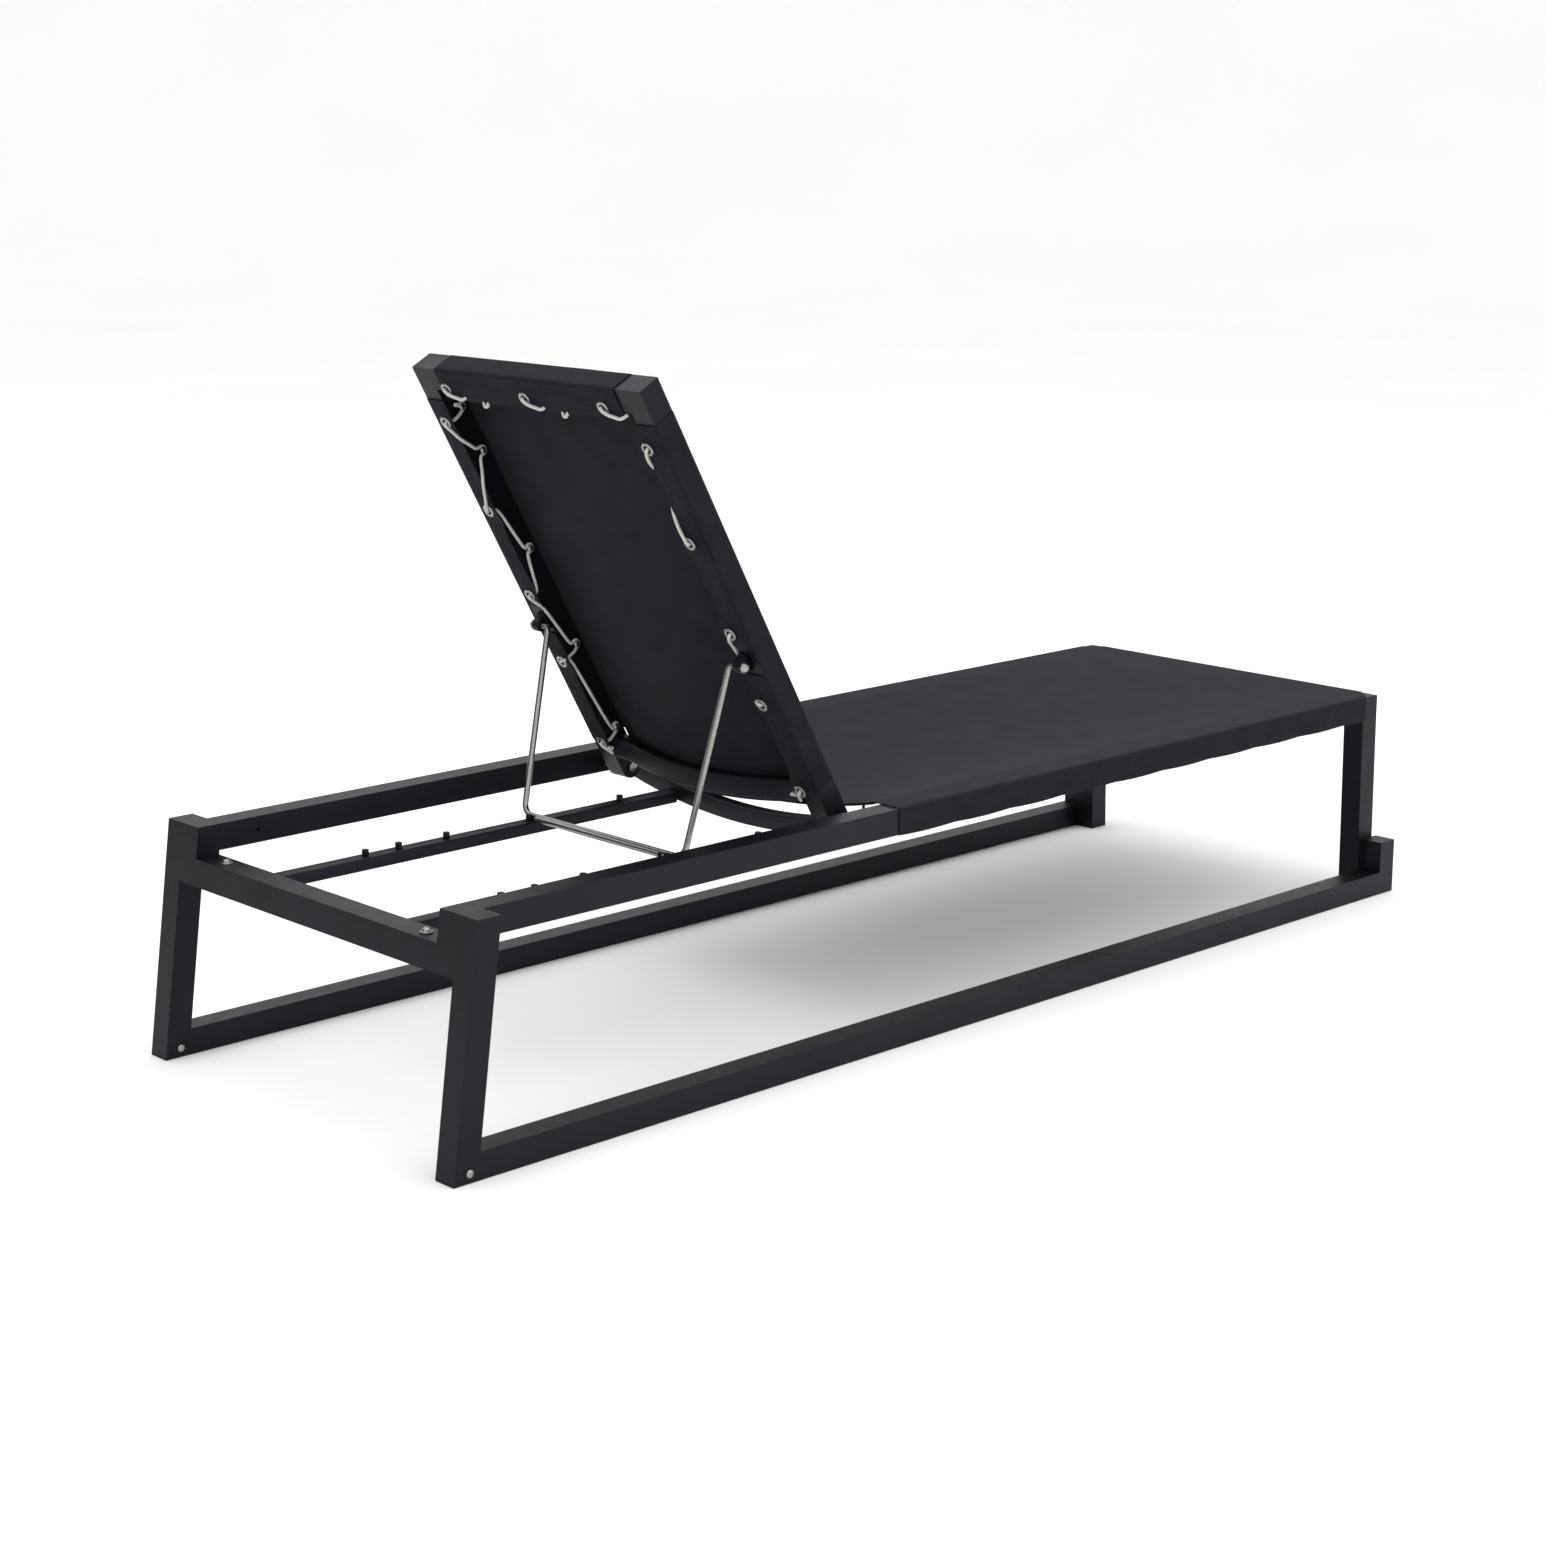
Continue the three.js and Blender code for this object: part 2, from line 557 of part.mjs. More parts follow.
function addStuds(side) {
  const { shank, reach, head, headDepth } = STUD;
  const profile = [[0, 0], [shank, 0], [shank, reach], [head, reach], [head, reach + 1.2],
    [head * 0.6, reach + headDepth], [0, reach + headDepth]];
  STUD.s.forEach((s, i) => {
    const stud = new THREE.LatheGeometry(profile.map(([r, h]) => new THREE.Vector2(r, h)), 24);
    if (side.sign > 0) {
      stud.rotateX(Math.PI);
    }
    stud.translate(-s, side.sign * (BACK.inner - GAP), STUD.n);
    addToBack(`lacing_stud_${side.name}_${i + 1}`, stud, steel);
  });
}

// ---------- lacing ----------

// The cord goes round the front of each stud, and dips behind the flap to the next eyelet.
function lacePoints(sign) {
  const behind = -BACK.half - GAP + CORD + 0.4;
  const loop = STUD.shank + CORD + 0.8;
  const aside = STUD.head + CORD + 0.6;
  const studY = BACK.inner - STUD.reach / 2 - GAP;
  const lowest = LOWER_BAR.s + LOWER_BAR.width + CORD + 0.5;
  const points = [];
  const put = (s, n) => points.push(new THREE.Vector3(-s, sign * studY, n));
  STUD.s.forEach((stud, i) => {
    const eyelet = Math.max(Math.min(EYELETS[i], stud - aside - 3), lowest);
    if (i > 0) {
      put(stud + aside, -4);
    }
    for (const turn of [0, 1, 2, 3, 4]) {
      const angle = (Math.PI * turn) / 4;
      put(stud + loop * Math.cos(angle), STUD.n + loop * Math.sin(angle));
    }
    put(stud - aside, -4);
    put(eyelet, behind);
    if (i < STUD.s.length - 1) {
      put(eyelet - 2 * CORD, behind);
    }
  });
  return points;
}

// Behind the top flap the cord runs across, and dips into view between the eyelets.
function topLacePoints() {
  const behind = -BACK.half - GAP + CORD + 0.4;
  const under = BACK.length - BACK.tube - CORD - 1;
  return TOP_LACE.map((y, i) => new THREE.Vector3(-(under - (i % 2) * TOP_LACE_DIP), y, behind));
}

// ---------- wire prop ----------

function addProp() {
  const up = new THREE.Vector3(-PIVOT.s, 0, PIVOT.n)
    .applyAxisAngle(new THREE.Vector3(0, 1, 0), BACK_ANGLE)
    .add(new THREE.Vector3(HINGE.x, 0, HINGE.z));
  const foot = new THREE.Vector3(FOOT_BAR.x, 0, FOOT_BAR.z);
  const at = (base, y) => new THREE.Vector3(base.x, y, base.z);
  const corners = [
    at(up, ROD_END_Y), at(up, ARM_TOP_Y), at(foot, FOOT_BAR.halfSpan),
    at(foot, -FOOT_BAR.halfSpan), at(up, -ARM_TOP_Y), at(up, -ROD_END_Y),
  ];
  const bend = roundCorners(corners, PROP_BENDS, 8);
  add('prop_rod', tubeAlong(bend, ROD, 20), steel);
  const along = foot.clone().sub(up).normalize();
  const beside = new THREE.Vector3(along.z, 0, -along.x).multiplyScalar(2 * ROD + GAP);
  const second = foot.clone().add(beside.x < 0 ? beside : beside.negate());
  add('prop_stiffener', cylinderY(ROD, [-STIFFENER_HALF, STIFFENER_HALF], [second.x, second.z], 20), steel);
  for (const side of SIDES) {
    const nut = headLathe(PROP_NUT.radius, PROP_NUT.height);
    if (side.sign < 0) {
      nut.rotateX(Math.PI);
    }
    add(`prop_nut_${side.name}`, nut.translate(up.x, side.sign * (ROD_END_Y + GAP), up.z), steel);
  }
}

// ---------- build ----------

for (const side of SIDES) {
  addRearLeg(side);
  addFloorRunner(side);
  addFootStub(side);
  addFootLeg(side);
  addSideRail(side);
  addPegBar(side);
  addPegs(side);
  addCrossbarBolt(side);
  addLegBolt(side);
  addHinge(side);
  addSeatTie(side);
  addBackSide(side);
  addLug(side);
  addStuds(side);
  addToBack(`backrest_lace_${side.name}`, tubeAlong(lacePoints(side.sign), CORD, 8), cordWhite);
}
addHeadCrossbar();
addFootCrossRail();
addSeatBar();
addBackTop();
addLowerBar();
addToBack('backrest_lace_top', tubeAlong(topLacePoints(), CORD, 8), cordWhite);
addProp();
addSeatSling();
addBackSling();

export default lounger;
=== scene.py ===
import math

import bmesh
import bpy
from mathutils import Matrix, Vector, noise


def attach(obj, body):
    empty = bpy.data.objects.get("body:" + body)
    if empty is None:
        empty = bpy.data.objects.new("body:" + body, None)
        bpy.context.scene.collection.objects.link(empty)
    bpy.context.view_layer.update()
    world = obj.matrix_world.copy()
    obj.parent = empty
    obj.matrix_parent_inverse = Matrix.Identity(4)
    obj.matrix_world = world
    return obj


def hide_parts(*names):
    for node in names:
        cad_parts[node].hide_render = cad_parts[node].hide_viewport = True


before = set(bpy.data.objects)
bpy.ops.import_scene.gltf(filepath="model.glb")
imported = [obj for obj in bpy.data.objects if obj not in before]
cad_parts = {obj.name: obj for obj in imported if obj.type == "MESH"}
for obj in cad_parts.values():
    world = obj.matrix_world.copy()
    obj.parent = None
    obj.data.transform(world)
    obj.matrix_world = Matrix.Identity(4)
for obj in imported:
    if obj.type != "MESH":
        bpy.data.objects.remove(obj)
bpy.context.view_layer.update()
mm = 0.001
bothSides = (("left", 1), ("right", -1))


def rgb(code):
    channels = [int(code[i:i + 2], 16) / 255 for i in (1, 3, 5)]
    linear = [c / 12.92 if c <= 0.04045 else ((c + 0.055) / 1.055) ** 2.4 for c in channels]
    return (*linear, 1.0)


def smooth(value, low, high):
    t = min(1.0, max(0.0, (value - low) / (high - low)))
    return t * t * (3 - 2 * t)


def mix(a, b, t):
    return a + (b - a) * t


def ripple(x, y, size, seed):
    return noise.noise(Vector((x / size, y / size, seed)))


def addNode(tree, kind, inputs=None, **settings):
    made = tree.nodes.new(kind)
    for key, value in settings.items():
        setattr(made, key, value)
    for key, value in (inputs or {}).items():
        if isinstance(value, bpy.types.NodeSocket):
            tree.links.new(value, made.inputs[key])
        else:
            made.inputs[key].default_value = value
    return made


def newMaterial(name, roughness, metallic=0.0):
    material = bpy.data.materials.new(name)
    material.use_nodes = True
    tree = material.node_tree
    shader = tree.nodes["Principled BSDF"]
    shader.inputs["Roughness"].default_value = roughness
    shader.inputs["Metallic"].default_value = metallic
    return material, tree, shader


# Gives a surface its colour from a pattern, between the given tones.
def tintSurface(tree, shader, factor, stops):
    ramp = addNode(tree, "ShaderNodeValToRGB", {"Fac": factor})
    elements = ramp.color_ramp.elements
    while len(elements) < len(stops):
        elements.new(0.5)
    for element, (place, code) in zip(elements, stops):
        element.position = place
        element.color = rgb(code)
    tree.links.new(ramp.outputs["Color"], shader.inputs["Base Color"])


# The scale of a noise whose features are about that many millimetres wide.
def perMetre(size):
    return 1 / (size * mm)


# Powder coat, baked on steel tube: a satin near-black with a fine orange peel that softens its highlights.
coat = {"stops": ((0.35, "#08070a"), (0.65, "#0f0d12")), "specular": 0.22, "tint": "#e9e3ff",
        "cloud": 111.1, "dust": 16.67, "rough": (0.36, 0.52), "grain": 1.111, "peel": 0.25}


def coatMaterial():
    c = coat
    material, tree, shader = newMaterial("powderCoat", 0.42)
    shader.inputs["Specular IOR Level"].default_value = c["specular"]
    shader.inputs["Specular Tint"].default_value = rgb(c["tint"])
    place = addNode(tree, "ShaderNodeTexCoord").outputs["Object"]
    cloud = addNode(tree, "ShaderNodeTexNoise",
                    {"Vector": place, "Scale": perMetre(c["cloud"]), "Detail": 5.0})
    grain = addNode(tree, "ShaderNodeTexNoise",
                    {"Vector": place, "Scale": perMetre(c["grain"]), "Detail": 2.0})
    dust = addNode(tree, "ShaderNodeTexNoise",
                   {"Vector": place, "Scale": perMetre(c["dust"]), "Detail": 8.0})
    tintSurface(tree, shader, cloud.outputs["Fac"], c["stops"])
    low, high = c["rough"]
    rough = addNode(tree, "ShaderNodeMapRange", {"Value": dust.outputs["Fac"], "To Min": low, "To Max": high})
    tree.links.new(rough.outputs["Result"], shader.inputs["Roughness"])
    bump = addNode(tree, "ShaderNodeBump",
                   {"Height": grain.outputs["Fac"], "Strength": c["peel"], "Distance": 0.2 * mm})
    tree.links.new(bump.outputs["Normal"], shader.inputs["Normal"])
    return material


# Stainless rod and bolts, drawn and lightly brushed: bright metal with streaks that blur its highlights.
# The streaks are drawn about 3 mm long, coarser than real ones, so that they show.
steel = {"stops": ((0.3, "#787675"), (0.7, "#b4b2b0")), "streak": 3.333, "thin": 12.0, "rough": (0.2, 0.4)}


def steelMaterial():
    c = steel
    material, tree, shader = newMaterial("stainless", 0.3, metallic=1.0)
    place = addNode(tree, "ShaderNodeTexCoord").outputs["Object"]
    stretch = addNode(tree, "ShaderNodeMapping", {"Vector": place, "Scale": (1.0, c["thin"], 1.0)})
    brush = addNode(tree, "ShaderNodeTexNoise",
                    {"Vector": stretch.outputs["Vector"], "Scale": perMetre(c["streak"])})
    tintSurface(tree, shader, brush.outputs["Fac"], c["stops"])
    low, high = c["rough"]
    rough = addNode(tree, "ShaderNodeMapRange",
                    {"Value": brush.outputs["Fac"], "To Min": low, "To Max": high})
    tree.links.new(rough.outputs["Result"], shader.inputs["Roughness"])
    return material


# Plain-woven sling cloth of coated yarn: matt and slightly uneven. Its yarns, one every 1.2 mm, cross over
# and under each other in the cloth's own flat coordinates, and slubs about 45 mm long cloud its tone.
cloth = {"stops": ((0.3, "#141217"), (0.7, "#1c1a21")), "pitch": 1.2, "slub": 45.45, "sheen": 0.025,
         "specular": 0.1, "tint": "#efeaff"}


def clothMaterial():
    c = cloth
    material, tree, shader = newMaterial("slingCloth", 0.8)
    shader.inputs["Sheen Weight"].default_value = c["sheen"]
    shader.inputs["Sheen Roughness"].default_value = 0.5
    shader.inputs["Specular IOR Level"].default_value = c["specular"]
    shader.inputs["Specular Tint"].default_value = rgb(c["tint"])
    flat = addNode(tree, "ShaderNodeUVMap").outputs["UV"]
    split = addNode(tree, "ShaderNodeSeparateXYZ", {"Vector": flat})

    def yarn(source):
        rate = math.pi / (c["pitch"] * mm)
        turned = addNode(tree, "ShaderNodeMath", {0: source, 1: rate}, operation="MULTIPLY")
        return addNode(tree, "ShaderNodeMath", {0: turned.outputs[0]}, operation="SINE").outputs[0]

    weave = addNode(tree, "ShaderNodeMath", {0: yarn(split.outputs["X"]), 1: yarn(split.outputs["Y"])},
                    operation="MULTIPLY")
    slub = addNode(tree, "ShaderNodeTexNoise", {"Vector": flat, "Scale": perMetre(c["slub"]), "Detail": 6.0})
    tint = addNode(tree, "ShaderNodeMath", {0: weave.outputs[0], 1: 0.10, 2: slub.outputs["Fac"]},
                   operation="MULTIPLY_ADD")
    tintSurface(tree, shader, tint.outputs[0], c["stops"])
    bump = addNode(tree, "ShaderNodeBump",
                   {"Height": weave.outputs[0], "Strength": 0.35, "Distance": 0.3 * mm})
    tree.links.new(bump.outputs["Normal"], shader.inputs["Normal"])
    return material


# Braided cord: strands wind round it both ways, so its tone breaks into small diamonds. UV runs round it in X
# and along it in metres in Y, and braid is the length in millimetres of one turn of a strand.
def cordMaterial(name, stops, braid):
    material, tree, shader = newMaterial(name, 0.75)
    flat = addNode(tree, "ShaderNodeUVMap").outputs["UV"]
    split = addNode(tree, "ShaderNodeSeparateXYZ", {"Vector": flat})
    rate = 2 * math.pi / (braid * mm)
    lean = addNode(tree, "ShaderNodeMath", {0: split.outputs["Y"], 1: rate}, operation="MULTIPLY")

    def strand(turns):
        wind = addNode(tree, "ShaderNodeMath",
                       {0: split.outputs["X"], 1: 2 * math.pi * turns, 2: lean.outputs[0]},
                       operation="MULTIPLY_ADD")
        return addNode(tree, "ShaderNodeMath", {0: wind.outputs[0]}, operation="SINE").outputs[0]

    cross = addNode(tree, "ShaderNodeMath", {0: strand(3), 1: strand(-3)}, operation="MULTIPLY")
    tone = addNode(tree, "ShaderNodeMapRange", {"Value": cross.outputs[0], "From Min": -1.0})
    tintSurface(tree, shader, tone.outputs["Result"], stops)
    bump = addNode(tree, "ShaderNodeBump",
                   {"Height": cross.outputs[0], "Strength": 0.6, "Distance": 0.4 * mm})
    tree.links.new(bump.outputs["Normal"], shader.inputs["Normal"])
    return material


coatDark = coatMaterial()
stainless = steelMaterial()
slingCloth = clothMaterial()
threadDark = cordMaterial("threadDark", ((0.2, "#1a1a1e"), (0.8, "#2f2e34")), 2.0)
laceWhite = cordMaterial("laceWhite", ((0.2, "#a9a6a4"), (0.8, "#d6d3d1")), 6.0)
tieDark = cordMaterial("tieDark", ((0.2, "#111114"), (0.8, "#26262b")), 6.0)
print("materials made")


def newObject(name, mesh, material, body, nodes=()):
    piece = bpy.data.objects.new(name, mesh)
    bpy.context.scene.collection.objects.link(piece)
    mesh.materials.clear()
    mesh.materials.append(material)
    if nodes:
        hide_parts(*nodes)
    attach(piece, body)
    return piece


def finishMesh(mesh, sharp=38):
    mesh.polygons.foreach_set("use_smooth", [True] * len(mesh.polygons))
    mesh.set_sharp_from_angle(angle=math.radians(sharp))
    return mesh


def applied(mesh, kind, **settings):
    holder = bpy.data.objects.new("holder", mesh)
    bpy.context.scene.collection.objects.link(holder)
    modifier = holder.modifiers.new("step", kind)
    for key, value in settings.items():
        setattr(modifier, key, value)
    graph = bpy.context.evaluated_depsgraph_get()
    result = bpy.data.meshes.new_from_object(holder.evaluated_get(graph))
    bpy.data.objects.remove(holder)
    return result


# The outer shape of a CAD node, with its flat faces whole again and its edges rounded.
def softened(name, radius, convex=True):
    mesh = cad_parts[name].data.copy()
    mesh.materials.clear()
    work = bmesh.new()
    work.from_mesh(mesh)
    bmesh.ops.remove_doubles(work, verts=work.verts, dist=1e-6)
    if convex:
        hull = bmesh.ops.convex_hull(work, input=work.verts)
        spare = {e for key in ("geom_interior", "geom_unused") for e in hull[key]}
        loose = [e for e in spare if isinstance(e, bmesh.types.BMVert)]
        bmesh.ops.delete(work, geom=loose, context="VERTS")
        kept = {e for e in hull["geom"] if isinstance(e, bmesh.types.BMFace)}
        bmesh.ops.delete(work, geom=[f for f in work.faces if f not in kept], context="FACES")
    bmesh.ops.dissolve_limit(work, angle_limit=math.radians(0.6), verts=work.verts, edges=work.edges)
    bmesh.ops.recalc_face_normals(work, faces=work.faces)
    work.to_mesh(mesh)
    work.free()
    return applied(mesh, "BEVEL", width=radius, segments=3, limit_method="ANGLE",
                   angle_limit=math.radians(35), use_clamp_overlap=True)


# A section, given as (sideways, upwards) points, carried along a line of points.
def sweep(points, section, name, closed=False):
    points = [Vector(p) for p in points]
    count, sides = len(points), len(section)
    tangents = []
    for i in range(count):
        before = points[i - 1] if closed or i > 0 else points[0]
        after = points[(i + 1) % count] if closed or i < count - 1 else points[-1]
        tangents.append((after - before).normalized())
    first = tangents[0]
    upward = Vector((0, 0, 1)) if abs(first.z) < 0.9 else Vector((1, 0, 0))
    normal = (upward - first * upward.dot(first)).normalized()
    verts, uvs, run = [], [], 0.0
    for i, (point, tangent) in enumerate(zip(points, tangents)):
        if i > 0:
            normal = tangents[i - 1].rotation_difference(tangent) @ normal
            normal = (normal - tangent * normal.dot(tangent)).normalized()
            run += (point - points[i - 1]).length
        sideways = tangent.cross(normal)
        for k, (a, b) in enumerate(section):
            verts.append(point + sideways * a + normal * b)
            uvs.append((k / sides, run))
    faces = []
    for i in range(count if closed else count - 1):
        j = (i + 1) % count
        for k in range(sides):
            m = (k + 1) % sides
            faces.append((i * sides + k, i * sides + m, j * sides + m, j * sides + k))
    if not closed:
        faces.append(tuple(range(sides))[::-1])
        faces.append(tuple(range((count - 1) * sides, count * sides)))
    mesh = bpy.data.meshes.new(name)
    mesh.from_pydata([tuple(v) for v in verts], [], faces)
    layer = mesh.uv_layers.new(name="UVMap")
    for loop in mesh.loops:
        layer.data[loop.index].uv = uvs[loop.vertex_index]
    work = bmesh.new()
    work.from_mesh(mesh)
    bmesh.ops.recalc_face_normals(work, faces=work.faces)
    work.to_mesh(mesh)
    work.free()
    return finishMesh(mesh, 50)


def circle(radius, sides=16):
    return [(radius * math.cos(2 * math.pi * k / sides), radius * math.sin(2 * math.pi * k / sides))
            for k in range(sides)]


def roundedSquare(width, height, radius, steps=4):
    points = []
    for corner, (sx, sy) in enumerate(((1, 1), (-1, 1), (-1, -1), (1, -1))):
        for k in range(steps + 1):
            angle = math.pi / 2 * (corner + k / steps)
            points.append((sx * (width / 2 - radius) + radius * math.cos(angle),
                           sy * (height / 2 - radius) + radius * math.sin(angle)))
    return points


def smoothLine(points, step):
    points = [Vector(p) for p in points]
    ends = [points[0] * 2 - points[1]] + points + [points[-1] * 2 - points[-2]]
    line = []
    for i in range(1, len(ends) - 2):
        a, b, c, d = ends[i - 1:i + 3]
        parts = max(2, round((c - b).length / step))
        for k in range(parts):
            t = k / parts
            line.append(0.5 * (2 * b + (c - a) * t + (2 * a - 5 * b + 4 * c - d) * t ** 2
                               + (3 * b - a - 3 * c + d) * t ** 3))
    return line + [points[-1]]


def filleted(points, radii, steps=8):
    points = [Vector(p) for p in points]
    line = [points[0]]
    for i, radius in enumerate(radii, start=1):
        corner = points[i]
        back = (points[i - 1] - corner).normalized()
        on = (points[i + 1] - corner).normalized()
        half = back.angle(on) / 2
        reach = radius / math.tan(half)
        centre = corner + (back + on).normalized() * radius / math.sin(half)
        start = corner + back * reach - centre
        end = corner + on * reach - centre
        for k in range(steps + 1):
            line.append(centre + start.lerp(end, k / steps).normalized() * radius)
    return line + [points[-1]]


def makeScatterTree():
    tree = bpy.data.node_groups.new("scatterPieces", "GeometryNodeTree")
    face = tree.interface
    face.new_socket("Places", in_out="INPUT", socket_type="NodeSocketGeometry")
    face.new_socket("Piece", in_out="INPUT", socket_type="NodeSocketObject")
    face.new_socket("Finish", in_out="INPUT", socket_type="NodeSocketMaterial")
    face.new_socket("Spread", in_out="INPUT", socket_type="NodeSocketFloat")
    face.new_socket("Seed", in_out="INPUT", socket_type="NodeSocketInt")
    face.new_socket("Result", in_out="OUTPUT", socket_type="NodeSocketGeometry")
    given = addNode(tree, "NodeGroupInput")
    piece = addNode(tree, "GeometryNodeObjectInfo", {"Object": given.outputs["Piece"]})
    facing = addNode(tree, "GeometryNodeInputNamedAttribute", {"Name": "facing"}, data_type="FLOAT_VECTOR")
    along = addNode(tree, "GeometryNodeInputNamedAttribute", {"Name": "along"}, data_type="FLOAT_VECTOR")
    turn = addNode(tree, "FunctionNodeAxesToRotation", {0: facing.outputs[0], 1: along.outputs[0]},
                   primary_axis="Z", secondary_axis="X")
    low = addNode(tree, "ShaderNodeMath", {0: 1.0, 1: given.outputs["Spread"]}, operation="SUBTRACT")
    high = addNode(tree, "ShaderNodeMath", {0: 1.0, 1: given.outputs["Spread"]}, operation="ADD")
    size = addNode(tree, "FunctionNodeRandomValue", data_type="FLOAT")
    minimum, maximum = [s for s in size.inputs if s.name in ("Min", "Max") and s.type == "VALUE"][:2]
    tree.links.new(low.outputs[0], minimum)
    tree.links.new(high.outputs[0], maximum)
    tree.links.new(given.outputs["Seed"], size.inputs["Seed"])
    amount = next(s for s in size.outputs if s.type == "VALUE")
    placed = addNode(tree, "GeometryNodeInstanceOnPoints", {
        "Points": given.outputs["Places"], "Instance": piece.outputs["Geometry"],
        "Rotation": turn.outputs[0], "Scale": amount})
    real = addNode(tree, "GeometryNodeRealizeInstances", {"Geometry": placed.outputs[0]})
    done = addNode(tree, "GeometryNodeSetMaterial", {"Geometry": real.outputs[0],
                                                    "Material": given.outputs["Finish"]})
    result = addNode(tree, "NodeGroupOutput")
    tree.links.new(done.outputs[0], result.inputs["Result"])
    return tree


scatterTree = makeScatterTree()


# places: (where, facing, along) vectors in metres; the piece faces +Z and runs along X.
def scatter(name, proto, places, material, body, spread=0.0):
    points = bpy.data.meshes.new(name + "Places")
    points.from_pydata([tuple(w) for w, _, _ in places], [], [])
    for key, index in (("facing", 1), ("along", 2)):
        attribute = points.attributes.new(key, "FLOAT_VECTOR", "POINT")
        attribute.data.foreach_set("vector", [c for place in places for c in place[index]])
    source = bpy.data.objects.new(name + "Source", proto)
    holder = bpy.data.objects.new(name + "Holder", points)
    for item in (source, holder):
        bpy.context.scene.collection.objects.link(item)
    modifier = holder.modifiers.new("scatter", "NODES")
    values = {"Piece": source, "Finish": material, "Spread": spread, "Seed": 7}
    modifier.node_group = scatterTree
    for socket in scatterTree.interface.items_tree:
        if socket.in_out == "INPUT" and socket.name in values:
            modifier[socket.identifier] = values[socket.name]
    graph = bpy.context.evaluated_depsgraph_get()
    mesh = bpy.data.meshes.new_from_object(holder.evaluated_get(graph))
    bpy.data.objects.remove(holder)
    bpy.data.objects.remove(source)
    newObject(name, finishMesh(mesh, 50), material, body)


def lathe(profile, sides=32):
    verts, faces = [], []
    count = len(profile)
    for k in range(sides):
        angle = 2 * math.pi * k / sides
        for r, z in profile:
            verts.append((r * math.cos(angle), r * math.sin(angle), z))
    for k in range(sides):
        m = (k + 1) % sides
        for i in range(count):
            j = (i + 1) % count
            faces.append((k * count + i, m * count + i, m * count + j, k * count + j))
    mesh = bpy.data.meshes.new("lathe")
    mesh.from_pydata(verts, [], faces)
    work = bmesh.new()
    work.from_mesh(mesh)
    bmesh.ops.remove_doubles(work, verts=work.verts, dist=1e-7)
    bmesh.ops.recalc_face_normals(work, faces=work.faces)
    work.to_mesh(mesh)
    work.free()
    return mesh


# An outline of (along, up) points, drawn across from one y to another.
def prism(outline, low, high, place):
    count = len(outline)
    verts = [place(a, y, b) for y in (low, high) for a, b in outline]
    faces = [tuple(range(count)), tuple(range(count, 2 * count))]
    for i in range(count):
        j = (i + 1) % count
        faces.append((i, j, j + count, i + count))
    mesh = bpy.data.meshes.new("prism")
    mesh.from_pydata([tuple(v) for v in verts], [], faces)
    work = bmesh.new()
    work.from_mesh(mesh)
    bmesh.ops.recalc_face_normals(work, faces=work.faces)
    work.to_mesh(mesh)
    work.free()
    return mesh


def combined(first, second, how):
    tool = bpy.data.objects.new("tool", second)
    bpy.context.scene.collection.objects.link(tool)
    result = applied(first, "BOOLEAN", object=tool, operation=how, solver="EXACT")
    bpy.data.objects.remove(tool)
    return result


# Tubes that are welded and ground flush become one body. Its long sharp edges are marked for rounding, but the
# bevel comes out with no width on these bodies, so they stay sharp.
def welded(prisms, cuts, radius):
    whole = prisms[0]
    for part in prisms[1:]:
        whole = combined(whole, part, "UNION")
    for part in cuts:
        whole = combined(whole, part, "DIFFERENCE")
    work = bmesh.new()
    work.from_mesh(whole)
    bmesh.ops.remove_doubles(work, verts=work.verts, dist=1e-6)
    bmesh.ops.triangulate(work, faces=work.faces, ngon_method="EAR_CLIP")
    weight = work.edges.layers.float.new("bevel_weight_edge")
    for edge in work.edges:
        sharp = len(edge.link_faces) == 2 and edge.calc_face_angle() > math.radians(35)
        edge[weight] = float(sharp and edge.calc_length() > 3 * mm)
    work.to_mesh(whole)
    work.free()
    return finishMesh(applied(whole, "BEVEL", width=radius, segments=3, limit_method="WEIGHT"))


base = {"length": 2000, "outer": 352, "rail": 314, "inner": 276, "tube": 38, "top": 337, "bottom": 299,
        "lean": 47, "stub": 90, "runner": (20, 1990), "footLeg": (1952, 1946.5), "footBite": 9,
        "crossbar": (255, 293), "hole": (144, 318, 3.0), "edge": 2.2}


def onBase(x, y, z):
    return Vector((x - base["length"] / 2, y, z)) * mm


# The rear legs, rails and head crossbar share this leaning face.
def headFace(z):
    return base["lean"] * z / base["top"]


def across(sign, low, high):
    return (low, high) if sign > 0 else (-high, -low)


def basePrisms(sign):
    b = base
    tube, top, bottom, end = b["tube"], b["top"], b["bottom"], b["length"]
    outer = across(sign, b["rail"], b["outer"])
    inner = across(sign, b["inner"], b["rail"])
    low, high = b["footLeg"]
    pad = b["crossbar"][1]
    leg = [(headFace(0), 0), (headFace(0) + tube, 0), (headFace(top) + tube, top), (headFace(top), top)]
    start, stop = b["runner"]
    runner = [(start, 0), (stop, 0), (stop, tube), (start, tube)]
    stub = [(end - tube, 0), (end, 0), (end, b["stub"]), (end - tube, b["stub"])]
    rail = [(headFace(pad), pad), (headFace(pad) + tube, pad), (headFace(pad) + tube, bottom),
            (high + tube, bottom), (high + tube, top), (headFace(top), top)]
    bite = bottom + b["footBite"]
    footLeg = [(low, 0), (low + tube, 0), (high + tube, bottom), (high + tube, bite), (high, bite),
               (high, bottom)]
    shapes = [prism(outline, *outer, onBase) for outline in (leg, runner, stub)]
    return shapes + [prism(outline, *inner, onBase) for outline in (rail, footLeg)]


